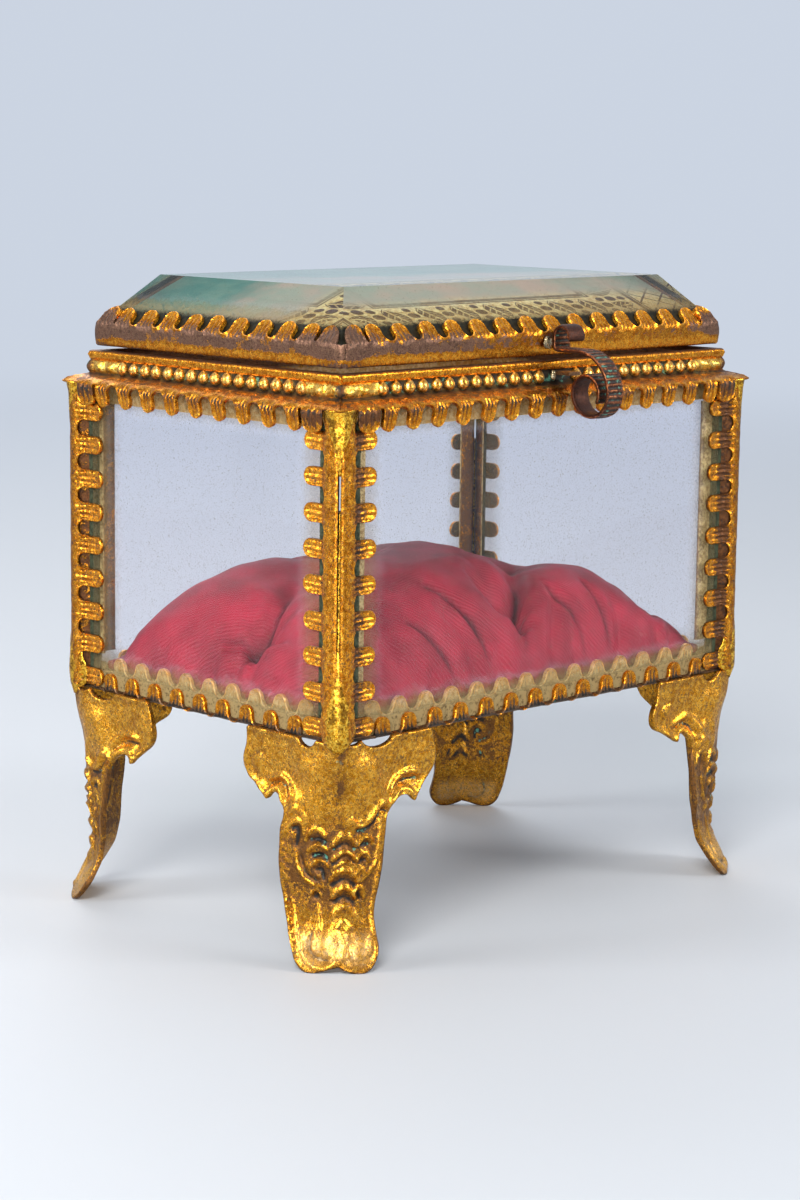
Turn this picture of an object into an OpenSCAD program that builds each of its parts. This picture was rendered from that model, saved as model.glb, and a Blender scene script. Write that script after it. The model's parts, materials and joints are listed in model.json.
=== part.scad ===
// Glass casket box: four framed panes on cabriole feet, a bevelled glass lid and a tufted cushion.
// X runs along the front, -Y is the front with the latch, +Y the hinge, Z up.
// The origin is on the floor, under the middle of the whole part.

/* [Casket] */
// Outside length of the base frame, along the front
body_w = 84; // [70:0.5:110]
// Outside depth of the base frame, front to back
body_d = 57; // [48:0.5:80]
// Height of the feet, from the floor to the base frame
foot_h = 31.6; // [26:0.2:38]
// Height from the base frame's underside to the underside of the rim's flange
wall_h = 45.2; // [36:0.2:60]

/* [Sheet metal] */
// Thickness of the stamped strips
sheet_t = 0.5; // [0.4:0.05:0.6]
// Width of the open slit between the two strips of a corner
slit = 0.3; // [0.2:0.05:0.5]
// Gap between mitred ends
mitre_gap = 0.1; // [0.05:0.05:0.2]

/* [Panes] */
// Thickness of a side pane
pane_t = 2.5; // [2:0.1:3]
// Upright edge of a pane, from the corner, at the pane's outside
pane_edge = 3.5; // [2.9:0.1:3.7]
// Clearance of a pane in its channel, on each side
pane_clear = 0.05; // [0.02:0.01:0.1]

/* [Tabs] */
// Nominal spacing of the tabs along every strip
tab_pitch = 5; // [4.2:0.1:6]
// Width of a tab
tab_w = 2.6; // [2:0.1:3]
// Width of the wide tab beside each rim or lid corner
corner_tab_w = 3.3; // [2.6:0.1:3.6]
// Middle of a base rail's end tab, from the corner
base_tab_at = 8.6; // [8.4:0.1:10]
// Middle of the rim's first plain tab, from the corner
rim_tab_at = 8.25; // [7.9:0.05:9.5]
// Middle of the rim's wide tab, from the corner
rim_corner_tab_at = 4.75; // [4.5:0.05:4.9]
// Middle of the lid's first plain tab, from its corner
lid_tab_at = 7; // [6.6:0.1:9]
// Middle of the lid's wide tab, from its corner
lid_corner_tab_at = 3.2; // [2.8:0.1:3.4]

/* [Base] */
// How far the base frame's ledge reaches inside the inner leaf
ledge = 2; // [1.4:0.1:3]
// Height of the outer tabs above the base frame's web
base_tab_h = 2.4; // [1.8:0.1:3.2]
// Height of the inner leaf with its tabs above the web
base_leaf_h = 4.4; // [3.4:0.1:5.5]
// Thickness of the base plate
plate_t = 0.6; // [0.4:0.1:1.2]
// Clearance around the base plate and the cushion card
plate_clear = 0.15; // [0.1:0.05:0.3]

/* [Corner strips] */
// Radius of the half-round ridge
ridge_r = 1.3; // [1:0.05:1.35]
// Reach from the corner of the inner leaf of the strips on the front and back
inner_leaf = 6.6; // [5.8:0.1:8]
// Reach from the corner of the inner leaf of the strips on the two ends
inner_leaf_side = 5; // [4.6:0.1:5.6]
// Reach of the outer tabs from the corner
strip_reach = 6.9; // [5.6:0.1:8]

/* [Rim] */
// How far the flange stands out from the base frame
flange_out = 1.35; // [0.9:0.05:1.6]
// Height of the rim above the underside of its flange
rim_h = 4.5; // [4:0.1:5.5]
// How far the rim's top band stands in from the base frame
rim_in = 1.7; // [1.4:0.1:2.2]
// Length of the flange's tabs
rim_tab_h = 3.2; // [2.4:0.1:4]
// Inward lean of the flange's tabs, degrees
rim_lean = 13; // [8:1:16]
// Depth of the rim's inner leaf below the flange
rim_leaf_h = 3; // [2:0.1:4]
// Diameter of a bead
bead_d = 1.7; // [1.3:0.05:1.9]
// Nominal spacing of the beads
bead_pitch = 2.55; // [2.1:0.05:3]
// Middle of the first bead, from the corner
bead_at = 9.6; // [6:0.1:14]

/* [Lid] */
// How far the lid frame stands in from the base frame, on each side
lid_in = 2.1; // [1.8:0.1:2.8]
// Gap between the rim and the closed lid
lid_gap = 1; // [0.6:0.1:1.4]
// Height of the lid frame's upright side
lid_side_h = 3.1; // [2.8:0.1:4]
// Rise of the glass above the upright side
bevel_rise = 6.9; // [4:0.1:9]
// Run of the bevel, from the glass's edge to its flat top
bevel_run = 6.6; // [5:0.1:9]
// Reach of the lid frame's tabs up the bevel
lid_tab_h = 3; // [2.4:0.1:4]
// Width of the lid frame's lip under the glass
lid_lip = 2.2; // [1.5:0.1:3]
// Thickness of the print under the glass
print_t = 0.3; // [0.2:0.05:0.5]
// Thickness of the card behind the print
card_t = 0.8; // [0.5:0.1:1.2]
// Clearance of the lid glass in its frame, on each side
lid_clear = 0.05; // [0.02:0.01:0.1]
// How far the lid glass's upright edge ends below the frame's side
edge_drop = 0.4; // [0.2:0.05:0.6]
// Radius of the lid frame's corners
lid_corner_r = 1; // [0.6:0.1:1.5]

/* [Latch] */
// Width of the latch strip
latch_w = 3.3; // [2.5:0.1:4]
// Thickness of the latch strip
latch_t = 0.6; // [0.4:0.05:0.7]
// Middle of the latch, to the right of the lid's middle
latch_x = 3; // [-12:0.5:12]
// Radius of the large curl
curl_r = 3.2; // [2.6:0.1:3.6]
// Radius of the small curl
small_curl_r = 1.5; // [1.2:0.1:1.9]
// Gap between the large curl and the rim's flange
latch_gap = 0.4; // [0.3:0.05:0.8]
// Width of the keeper
keeper_w = 2.4; // [1.6:0.1:3]
// Width of the solder beside the keeper
keeper_solder_w = 0.9; // [0.6:0.1:1.2]

/* [Hinge] */
// Length of the hinge
hinge_w = 20; // [14:0.5:30]
// Length of the lid's barrel
barrel_mid = 9; // [6:0.5:10]
// Outside radius of the barrels
barrel_r = 1.2; // [1:0.05:1.3]
// Radius of the hinge pin
pin_r = 0.6; // [0.4:0.05:0.7]
// Clearance around the pin
pin_clear = 0.05; // [0.03:0.01:0.08]
// Height of the body's leaf, down from the rim's top
hinge_leaf_h = 3.2; // [2.4:0.1:3.3]
// Gap between the barrels' ends
barrel_gap = 0.3; // [0.2:0.05:0.5]

/* [Feet] */
// Reach of a foot's wing along the base frame
wing = 18.8; // [15:0.2:22]
// Half width of the leg, measured along the sheet
leg_half = 8.2; // [6.5:0.1:9.5]
// How far the ankle stands in from the corner, along the diagonal
ankle_in = 3; // [1.5:0.1:4]
// How far the toe stands out from the corner, along the diagonal
toe_out = 0.5; // [0:0.1:1]
// Height of the notch between the toe's two lobes
toe_notch = 0.9; // [0.4:0.1:1]
// Thickness of the foot's sheet
foot_t = 0.6; // [0.5:0.1:0.9]

/* [Cushion] */
// Thickness of the card under the cushion
cushion_card_t = 0.8; // [0.5:0.1:1.2]
// Height of the cushion at its crown
cushion_h = 17; // [10:0.5:22]
// Clearance around the cushion
cushion_clear = 0.4; // [0.3:0.1:1]

/* [Hidden] */
$fn = 48;

gilt = [0.80, 0.58, 0.22];
worn = [0.52, 0.37, 0.24];
copper = [0.42, 0.26, 0.20];
clear_glass = [0.80, 0.88, 0.86, 0.35];
silk = [0.74, 0.30, 0.36];

half_w = body_w / 2;
half_d = body_d / 2;
root2 = sqrt(2);

// Depths inwards from the outside of the base frame
channel = pane_t + 2 * pane_clear;
leaf_out = sheet_t + channel;
leaf_in = leaf_out + sheet_t;

// Heights
web_top = foot_h + sheet_t;
flange_z = foot_h + wall_h;
rim_top = flange_z + rim_h;
lid_z = rim_top + lid_gap;
lid_side_top = lid_z + lid_side_h;
lid_top = lid_side_top + bevel_rise;
fold_z = flange_z - sheet_t;
base_leaf_top = web_top + base_leaf_h;
rim_leaf_z = flange_z - rim_leaf_h;
rim_groove = rim_in + 0.4;
small_gap = 0.3;

// Where the inner leaves of the base and the rim start, from the corner
leaf_start = inner_leaf - 1;

// Corner strips: the web lies along the diagonal, half a slit from it
web_near = slit / root2;
web_far = web_near + sheet_t * root2;
ridge_u = ridge_r + 0.15;
strip_root = ridge_u + ridge_r;
strip_top = flange_z;

// Lid
lid_half_w = half_w - lid_in;
lid_half_d = half_d - lid_in;
glass_half_w = lid_half_w - sheet_t - lid_clear;
glass_half_d = lid_half_d - sheet_t - lid_clear;
lid_card_z = lid_z + sheet_t;
lid_print_z = lid_card_z + card_t;
glass_z = lid_print_z + print_t;
glass_edge_top = lid_side_top - edge_drop;
bevel_angle = atan((bevel_rise + edge_drop) / bevel_run);

// Latch: distances outwards from the lid frame's front
flange_face = flange_out + lid_in;
curl_back = flange_face + latch_gap + latch_t / 2;
curl_out = curl_back + curl_r;
curl_z = lid_z - 5.3;
run_z = lid_z + latch_t / 2 + 0.1;
sweep_r = run_z - curl_z;
latch_reach = curl_out + curl_r + latch_t / 2;

// Hinge axis, beside the gap between the rim and the lid
hinge_y = half_d - rim_in + barrel_r;
hinge_z = rim_top + lid_gap / 2;
leaf_clear = barrel_r + small_gap;

// Feet: a bent sheet drawn as a grid, foot_cols across it and one row at each level
foot_cols = 12;
// Levels of the grid, from the floor up, as shares of the foot's height
foot_levels = [0, 0.035, 0.1, 0.2, 0.32, 0.44, 0.55, 0.62, 0.665, 0.69, 0.77, 0.845, 0.93, 1];

// Half width at a level, along the sheet
function foot_half(f) = lookup(f, [
  [0, leg_half - 2.7], [0.035, leg_half - 2.1], [0.1, leg_half - 1.7], [0.32, leg_half - 1.6],
  [0.5, leg_half], [0.62, leg_half + 1.2], [0.665, leg_half + 2.4], [0.69, wing - 4.3],
  [0.77, wing - 1.8], [0.845, wing], [0.93, wing - 0.1], [1, wing - 0.6]
]);

// Place of the ridge along the diagonal, outwards from the corner
function foot_out(f) = lookup(f, [
  [0, toe_out], [0.1, -0.45 * ankle_in], [0.2, -0.92 * ankle_in], [0.3, -ankle_in],
  [0.5, -0.78 * ankle_in], [0.74, -0.4 * ankle_in], [1, -0.1]
]);

// Angle between each half of the sheet and the line across the diagonal
function foot_angle(f) = lookup(f, [[0, 14], [0.2, 20], [0.45, 25], [0.65, 36], [0.78, 45], [1, 45]]);

// A point of the sheet from the corner, +X and +Y inwards: level f, place s from -1 to 1 across it,
// depth behind the front. The top edge dips on each side of the corner, which leaves a small gap there,
// and the toe has two lobes, each flat in its middle.
function foot_point(f, s, depth) =
  let (
    a = s * foot_half(f),
    bend = sqrt(a * a + 1) - 1,
    lobe = max(0, 1 - sqrt(1 - pow(2 * abs(s) - 1, 2)) - 0.06) / 0.94,
    dip = f == 1 ? 1.2 * max(0, 1 - pow((abs(a) - 6.2) / 4.2, 2)) : f == 0 ? -toe_notch * lobe : 0,
    p = foot_out(f) - bend * sin(foot_angle(f)) - depth,
    q = a * cos(foot_angle(f))
  ) [(-p + q) / root2, (-p - q) / root2, foot_h * f - dip];

// Middle of the whole part, front to back
foot_reach = max([for (f = foot_levels) -foot_point(f, -1, 0)[0]]);
front_y = half_d + max(latch_reach - lid_in, foot_reach);
back_y = half_d + max(flange_out, foot_reach);
shift_y = (front_y - back_y) / 2;

// ---------- shared shapes ----------

// A strip along X with a root of height root, round-ended tabs up to reach and round notches between them.
// Tabs stand from first to last; wide is the width of one more tab centred at wide_at from each end.
module comb(len, root, reach, first, last, wide = 0, wide_at = 0) {
  n = max(1, round((last - first) / tab_pitch));
  step = (last - first) / n;
  notch = (step - tab_w) / 2 - 0.02;
  difference() {
    square([len, root + notch]);
    for (i = [0 : n - 1]) translate([first + (i + 0.5) * step, root + notch]) circle(notch);
    translate([-1, root]) square([first - tab_w / 2 + 1, notch + 1]);
    translate([last + tab_w / 2, root]) square([len - last, notch + 1]);
  }
  for (i = [0 : n]) translate([first + i * step, 0]) tab(tab_w, reach);
  if (wide > 0) for (x = [wide_at, len - wide_at]) translate([x, 0]) tab(wide, reach);
}

module tab(w, reach) {
  translate([-w / 2, 0]) square([w, reach - w / 2]);
  translate([0, reach - w / 2]) circle(d = w);
}

// Places a shape drawn for the front side, its middle at X 0 and its outside at Y 0
module on_side(side) {
  turn = side == "front" ? 0 : side == "right" ? 90 : side == "back" ? 180 : 270;
  out = side == "front" || side == "back" ? half_d : half_w;
  rotate([0, 0, turn]) translate([0, -out, 0]) children();
}

function side_len(side) = side == "front" || side == "back" ? body_w : body_d;

// The room of one side between its two mitres; out is how far it reaches outside the base frame
module mitred(len, out, z0, z1) {
  deep = 12;
  intersection() {
    children();
    translate([0, 0, z0]) linear_extrude(z1 - z0) polygon([
      [-len / 2 - out + mitre_gap / 2, -out], [len / 2 + out - mitre_gap / 2, -out],
      [len / 2 - deep - mitre_gap / 2, deep], [-len / 2 + deep + mitre_gap / 2, deep]
    ]);
  }
}

// A profile in the YZ plane, drawn as [depth inwards, height], along X
module along_x(len) {
  translate([-len / 2, 0, 0]) rotate([90, 0, 90]) linear_extrude(len) children();
}

module place() { translate([0, shift_y, 0]) children(); }

// ---------- base ----------

module base_rail(side) {
  len = side_len(side);
  rail = len - 2 * (strip_reach + small_gap);
  tab_start = base_tab_at - strip_reach - small_gap;
  leaf_len = len - 2 * leaf_start;
  color(gilt) place() on_side(side) {
    mitred(len, 0, foot_h, web_top)
      translate([-len / 2, 0, foot_h]) cube([len, leaf_in + ledge, sheet_t]);
    // outer tabs, between the corner strips
    translate([-rail / 2, sheet_t, web_top]) rotate([90, 0, 0]) linear_extrude(sheet_t)
      comb(rail, 0.4, base_tab_h, tab_start, rail - tab_start);
    // inner leaf, behind the pane
    translate([-leaf_len / 2, leaf_in, web_top]) rotate([90, 0, 0]) linear_extrude(sheet_t)
      comb(leaf_len, base_leaf_h - 2.2, base_leaf_h, base_tab_at - leaf_start,
        leaf_len - base_tab_at + leaf_start);
  }
}

module base_plate() {
  w = body_w - 2 * (leaf_in + plate_clear);
  d = body_d - 2 * (leaf_in + plate_clear);
  color(worn) place() translate([-w / 2, -d / 2, web_top]) cube([w, d, plate_t]);
}

// ---------- corner strips ----------

// Plan of a strip: u along the face from the corner, v inwards
module ridge_plan() {
  intersection() {
    translate([ridge_u, sheet_t]) difference() {
      circle(ridge_r);
      circle(ridge_r - sheet_t);
    }
    translate([-1, sheet_t - 4]) square([8, 4]);
    polygon([[web_near - 3, -3], [10, -3], [10, 10], [web_near + 10, 10]]);
  }
  polygon([
    [web_near - 0.35, -0.35], [web_far - 0.35, -0.35],
    [web_far + sheet_t, sheet_t], [web_near + sheet_t, sheet_t]
  ]);
}

module leaf_plan(reach) {
  polygon([
    [web_near + sheet_t, sheet_t], [web_far + sheet_t, sheet_t], [web_far + leaf_out, leaf_out],
    [reach, leaf_out], [reach, leaf_in], [web_near + leaf_in, leaf_in]
  ]);
}

// A strip at the corner where u and v are zero, running along +u; leaf is its inner leaf's reach
module strip_body(leaf) {
  high = strip_top - web_top;
  tab_first = 1.5;
  tab_last = high - 4.3;
  translate([0, 0, web_top]) linear_extrude(high) ridge_plan();
  translate([0, 0, base_leaf_top + small_gap])
    linear_extrude(rim_leaf_z - base_leaf_top - 2 * small_gap) leaf_plan(leaf);
  translate([strip_root - sheet_t, 0, web_top]) rotate([-90, -90, 0]) linear_extrude(sheet_t)
    comb(high, sheet_t + 0.1, strip_reach - strip_root + sheet_t, tab_first, tab_last);
}

// sx, sy pick the corner; face is true for the strip on the front or back
module strip(sx, sy, face) {
  color(gilt) place() translate([sx * half_w, sy * half_d, 0])
    mirror([sx > 0 ? 1 : 0, 0, 0]) mirror([0, sy > 0 ? 1 : 0, 0])
      mirror(face ? [0, 0, 0] : [1, -1, 0]) strip_body(face ? inner_leaf : inner_leaf_side);
}

// Solder that fills the slit at the top and at the foot of each corner
module corner_solder() {
  low = 12;
  high = 7;
  thick = slit - 0.04;
  color(gilt) place() for (sx = [-1, 1], sy = [-1, 1])
    translate([sx * half_w, sy * half_d, 0]) mirror([sx > 0 ? 1 : 0, 0, 0]) mirror([0, sy > 0 ? 1 : 0, 0])
      rotate([0, 0, 45]) translate([0.1, -thick / 2, 0]) {
        translate([0, 0, web_top]) cube([2, thick, low]);
        translate([0, 0, strip_top - high]) cube([2, thick, high]);
      }
}

// ---------- panes ----------

module pane(side) {
  len = side_len(side);
  near = sheet_t + pane_clear;
  far = near + pane_t;
  far_edge = far + web_far + 0.1;
  color(clear_glass) place() on_side(side)
    translate([0, 0, web_top + pane_clear]) linear_extrude(flange_z - web_top - 2 * pane_clear) polygon([
      [pane_edge - len / 2, near], [len / 2 - pane_edge, near],
      [len / 2 - far_edge, far], [far_edge - len / 2, far]
    ]);
}

// ---------- rim ----------

module rim_plan() {
  polygon([
    [-flange_out, fold_z], [-flange_out, flange_z + 0.1], [-flange_out + 0.4, flange_z + sheet_t],
    [rim_groove - 0.6, flange_z + sheet_t + 0.3], [rim_groove, flange_z + sheet_t + 0.7],
    [rim_groove, rim_top - 1.3], [rim_in, rim_top - 1.1], [rim_in, rim_top - 0.2], [rim_in + 0.2, rim_top],
    [leaf_in, rim_top], [leaf_in, rim_leaf_z], [leaf_out, rim_leaf_z], [leaf_out, flange_z],
    [sheet_t - flange_out, flange_z], [sheet_t - flange_out, fold_z]
  ]);
}

// The beads leave room for the hinge at the back and for the keeper at the front
function bead_fits(side, x) =
  side == "back" ? abs(x) > hinge_w / 2 + bead_d :
  side == "front" ? abs(x - latch_x) > keeper_w / 2 + keeper_solder_w + bead_d / 2 + 0.05 : true;

module rim(side) {
  len = side_len(side);
  n = round((len - 2 * bead_at) / bead_pitch);
  step = (len - 2 * bead_at) / n;
  bead_z = (flange_z + sheet_t + 0.7 + rim_top - 1.3) / 2;
  tab_start = strip_root + 0.05;
  band = len - 2 * tab_start;
  color(gilt) place() on_side(side) {
    mitred(len, flange_out, flange_z - 0.01, rim_top) along_x(len + 4) rim_plan();
    // the leaves below the flange stop clear of the corner strips
    intersection() {
      along_x(len - 2 * leaf_start) rim_plan();
      translate([-len, leaf_out - 0.01, 0]) cube([2 * len, 2, flange_z + 0.01]);
    }
    mitred(len, flange_out, fold_z, flange_z) translate([0, -flange_out, fold_z])
      along_x(len + 4) square([sheet_t, sheet_t]);
    translate([-band / 2, -flange_out, flange_z - 0.1]) rotate([rim_lean - 90, 0, 0])
      linear_extrude(sheet_t) comb(band, sheet_t + 0.15, rim_tab_h + 0.1, rim_tab_at - tab_start,
        band - rim_tab_at + tab_start, corner_tab_w, rim_corner_tab_at - tab_start);
    for (i = [0 : n]) {
      x = -len / 2 + bead_at + i * step;
      if (bead_fits(side, x)) translate([x, rim_in + bead_d / 2 - 0.1, bead_z]) sphere(d = bead_d);
    }
  }
}

// ---------- feet ----------

module foot_sheet() {
  rows = len(foot_levels);
  cols = foot_cols + 1;
  deep = foot_t * 1.2;
  points = [for (depth = [0, deep], f = foot_levels, j = [0 : foot_cols])
    foot_point(f, 2 * j / foot_cols - 1, depth)];
  back = rows * cols;
  faces = concat(
    [for (i = [0 : rows - 2], j = [0 : foot_cols - 1]) each [
      [i * cols + j, i * cols + j + 1, (i + 1) * cols + j + 1],
      [i * cols + j, (i + 1) * cols + j + 1, (i + 1) * cols + j]]],
    [for (i = [0 : rows - 2], j = [0 : foot_cols - 1]) each [
      [back + i * cols + j, back + (i + 1) * cols + j + 1, back + i * cols + j + 1],
      [back + i * cols + j, back + (i + 1) * cols + j, back + (i + 1) * cols + j + 1]]],
    [for (j = [0 : foot_cols - 1]) each [
      [j, back + j, back + j + 1], [j, back + j + 1, j + 1]]],
    [for (j = [0 : foot_cols - 1], top = (rows - 1) * cols) each [
      [top + j, back + top + j + 1, back + top + j], [top + j, top + j + 1, back + top + j + 1]]],
    [for (i = [0 : rows - 2]) each [
      [i * cols, (i + 1) * cols, back + (i + 1) * cols], [i * cols, back + (i + 1) * cols, back + i * cols]]],
    [for (i = [0 : rows - 2], e = foot_cols) each [
      [i * cols + e, back + (i + 1) * cols + e, (i + 1) * cols + e],
      [i * cols + e, back + i * cols + e, back + (i + 1) * cols + e]]]
  );
  polyhedron(points, faces, convexity = 6);
}

module foot(sx, sy) {
  color(gilt) place() translate([sx * half_w, sy * half_d, 0])
    mirror([sx > 0 ? 1 : 0, 0, 0]) mirror([0, sy > 0 ? 1 : 0, 0]) foot_sheet();
}

// ---------- cushion ----------

card_half_w = half_w - leaf_in - plate_clear;
card_half_d = half_d - leaf_in - plate_clear;

module cushion_card() {
  color([0.62, 0.52, 0.40]) place()
    translate([-card_half_w, -card_half_d, web_top + plate_t])
      cube([2 * card_half_w, 2 * card_half_d, cushion_card_t]);
}

// Height of the cushion over its seam, for x and y from -1 to 1
function puff(x, y) =
  let (
    edge = max(0, (1 - pow(abs(x), 3)) * (1 - pow(abs(y), 3))),
    tuft = exp(-pow((x - 0.38) / 0.16, 2) - pow((y + 0.2) / 0.28, 2))
      + exp(-pow((x + 0.55) / 0.16, 2) - pow(y / 0.28, 2))
  ) pow(edge, 0.6) * (1 - 0.1 * x - 0.22 * tuft);

module cushion() {
  nx = 20;
  ny = 14;
  c = ny + 1;
  half = [half_w - leaf_in - cushion_clear, half_d - leaf_in - cushion_clear];
  base = web_top + plate_t + cushion_card_t + small_gap;
  seam = 2;
  last = (nx + 1) * c;
  points = [for (side = [1, 0], i = [0 : nx], j = [0 : ny]) let (x = 2 * i / nx - 1, y = 2 * j / ny - 1)
    [x * half[0], y * half[1], base + side * (seam + (cushion_h - seam) * puff(x, y))]];
  rim_path = concat([for (i = [0 : nx - 1]) i * c], [for (j = [0 : ny - 1]) nx * c + j],
    [for (i = [0 : nx - 1]) (nx - i) * c + ny], [for (j = [0 : ny - 1]) ny - j]);
  faces = concat(
    [for (i = [0 : nx - 1], j = [0 : ny - 1]) let (k = i * c + j) each [
      [k, k + 1, k + c + 1], [k, k + c + 1, k + c],
      [last + k, last + k + c + 1, last + k + 1], [last + k, last + k + c, last + k + c + 1]]],
    [for (i = [0 : len(rim_path) - 1]) let (a = rim_path[i], b = rim_path[(i + 1) % len(rim_path)]) each [
      [a, b, last + b], [a, last + b, last + a]]]
  );
  color(silk) place() polyhedron(points, faces, convexity = 6);
}

// ---------- lid ----------

module rounded_plate(w, d, r) {
  translate([-w / 2 + r, -d / 2]) square([w - 2 * r, d]);
  translate([-w / 2, -d / 2 + r]) square([w, d - 2 * r]);
  for (x = [-1, 1], y = [-1, 1]) translate([x * (w / 2 - r), y * (d / 2 - r)]) circle(r);
}

// One side's tabs, folded over onto the bevel of the glass; out is the side's distance from the middle
module lid_band(len, out) {
  in = sheet_t + lid_clear * (1 - sin(bevel_angle));
  up = lid_clear * cos(bevel_angle) - edge_drop;
  mitred_lid(len, out)
    translate([-len / 2, in - out, lid_side_top + up]) rotate([bevel_angle, 0, 0]) linear_extrude(sheet_t)
      comb(len, 0.9, lid_tab_h, lid_tab_at, len - lid_tab_at, corner_tab_w, lid_corner_tab_at);
}

module mitred_lid(len, out) {
  deep = 12;
  intersection() {
    children();
    translate([0, 0, lid_side_top - 1]) linear_extrude(bevel_rise) polygon([
      [-len / 2 + mitre_gap / 2, -out], [len / 2 - mitre_gap / 2, -out],
      [len / 2 - deep - mitre_gap / 2, deep - out], [-len / 2 + deep + mitre_gap / 2, deep - out]
    ]);
  }
}

module lid_frame() {
  w = 2 * lid_half_w;
  d = 2 * lid_half_d;
  color(worn) place() {
    difference() {
      translate([0, 0, lid_z]) linear_extrude(lid_side_h) rounded_plate(w, d, lid_corner_r);
      translate([sheet_t - lid_half_w, sheet_t - lid_half_d, lid_z + sheet_t])
        cube([w - 2 * sheet_t, d - 2 * sheet_t, lid_side_h]);
      translate([lid_lip - lid_half_w, lid_lip - lid_half_d, lid_z - 1])
        cube([w - 2 * lid_lip, d - 2 * lid_lip, 3]);
    }
    intersection() {
      union() {
        for (turn = [0, 180]) rotate([0, 0, turn]) lid_band(w, lid_half_d);
        for (turn = [90, 270]) rotate([0, 0, turn]) lid_band(d, lid_half_w);
      }
      translate([0, 0, lid_z]) linear_extrude(lid_top - lid_z) rounded_plate(w, d, lid_corner_r);
    }
  }
}

// Section of the lid glass: upright edge, bevel, flat top
module bevel_section(half) {
  polygon([
    [-half, glass_z], [half, glass_z], [half, glass_edge_top], [half - bevel_run, lid_top],
    [bevel_run - half, lid_top], [-half, glass_edge_top]
  ]);
}

module lid_glass() {
  color(clear_glass) place() intersection() {
    translate([0, glass_half_d + 1, 0]) rotate([90, 0, 0])
      linear_extrude(2 * glass_half_d + 2) bevel_section(glass_half_w);
    translate([-glass_half_w - 1, 0, 0]) rotate([90, 0, 90])
      linear_extrude(2 * glass_half_w + 2) bevel_section(glass_half_d);
  }
}

module lid_print() {
  color([0.70, 0.72, 0.60]) place() translate([-glass_half_w, -glass_half_d, lid_print_z])
    cube([2 * glass_half_w, 2 * glass_half_d, print_t]);
}

module lid_card() {
  color([0.62, 0.52, 0.40]) place() translate([-glass_half_w, -glass_half_d, lid_card_z])
    cube([2 * glass_half_w, 2 * glass_half_d, card_t]);
}

// ---------- latch and keeper ----------

// Outline of a bent length of strip: centre, radius, first and last angle
module bend(out, z, r, from, to) {
  steps = 6;
  translate([out, z]) intersection() {
    difference() {
      circle(r + latch_t / 2);
      circle(r - latch_t / 2);
    }
    polygon(concat([[0, 0]], [for (i = [0 : steps], a = from + i * (to - from) / steps)
      1.5 * (r + latch_t) * [cos(a), sin(a)]]));
  }
}

// Turns [outwards, up, along] into the latch's place on the lid's front
module on_lid_front(x) {
  translate([x, -lid_half_d, 0]) rotate([90, 0, -90]) children();
}

module latch_scroll() {
  inner_r = curl_r - 0.85;
  small_out = small_curl_r + latch_t / 2;
  small_z = run_z + small_curl_r + 0.5;
  over = 0.5;
  color(copper) place() on_lid_front(latch_x + latch_w / 2) linear_extrude(latch_w) {
    bend(small_out, small_z, small_curl_r, -25, 180 + over);
    translate([0, run_z]) square([latch_t, small_z - run_z]);
    translate([0, run_z - latch_t / 2]) square([curl_out + curl_r - sweep_r, latch_t]);
    bend(curl_out + curl_r - sweep_r, curl_z, sweep_r, -over, 90 + over);
    bend(curl_out, curl_z, curl_r, -180 - over, over);
    bend(curl_back + inner_r, curl_z, inner_r, -35, 180 + over);
  }
}

module latch_solder() {
  color([0.55, 0.58, 0.50]) place() translate([latch_x - latch_w / 2 - 1, -lid_half_d, lid_z + 1.5])
    rotate([90, 0, 0]) cylinder(r = 0.9, h = 0.5);
}

module keeper() {
  reach = flange_face - 0.4;
  color(copper) place() translate([latch_x - keeper_w / 2, -lid_half_d - reach, flange_z + 2.4])
    cube([keeper_w, reach + rim_groove - lid_in, sheet_t]);
}

module keeper_solder() {
  color([0.72, 0.72, 0.68]) place()
    translate([latch_x - keeper_w / 2 - keeper_solder_w, -half_d + rim_groove - 0.8, flange_z + 1.6])
      cube([keeper_solder_w, 0.8, 1.5]);
}

// ---------- hinge ----------

module barrel(x0, x1) {
  translate([x0, hinge_y, hinge_z]) rotate([0, 90, 0]) difference() {
    cylinder(r = barrel_r, h = x1 - x0);
    translate([0, 0, -1]) cylinder(r = pin_r + pin_clear, h = x1 - x0 + 2);
  }
}

// Flat leaf on the back: from x0 to x1, z0 to z1, its inner face at y
module leaf(x0, x1, y, z0, z1) {
  translate([x0, y, z0]) cube([x1 - x0, sheet_t, z1 - z0]);
}

module hinge_leaf_body() {
  half = hinge_w / 2;
  mid = barrel_mid / 2 + barrel_gap;
  y = hinge_y - barrel_r;
  color(gilt) place() {
    leaf(-half, half, y, rim_top - hinge_leaf_h, hinge_z - leaf_clear);
    for (s = [-1, 1]) {
      leaf(s > 0 ? mid : -half, s > 0 ? half : -mid, y, hinge_z - leaf_clear - 0.1, hinge_z);
      barrel(s > 0 ? mid : -half, s > 0 ? half : -mid);
    }
  }
}

module hinge_leaf_lid() {
  half = hinge_w / 2;
  mid = barrel_mid / 2;
  y = lid_half_d;
  color(gilt) place() {
    leaf(-half, half, y, hinge_z + leaf_clear, lid_side_top - 0.3);
    leaf(-mid, mid, y, hinge_z, hinge_z + leaf_clear + 0.1);
    barrel(-mid, mid);
  }
}

module hinge_pin() {
  over = 0.4;
  color(worn) place() translate([-hinge_w / 2 - over, hinge_y, hinge_z])
    rotate([0, 90, 0]) cylinder(r = pin_r, h = hinge_w + 2 * over);
}

// ---------- nodes ----------

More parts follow.
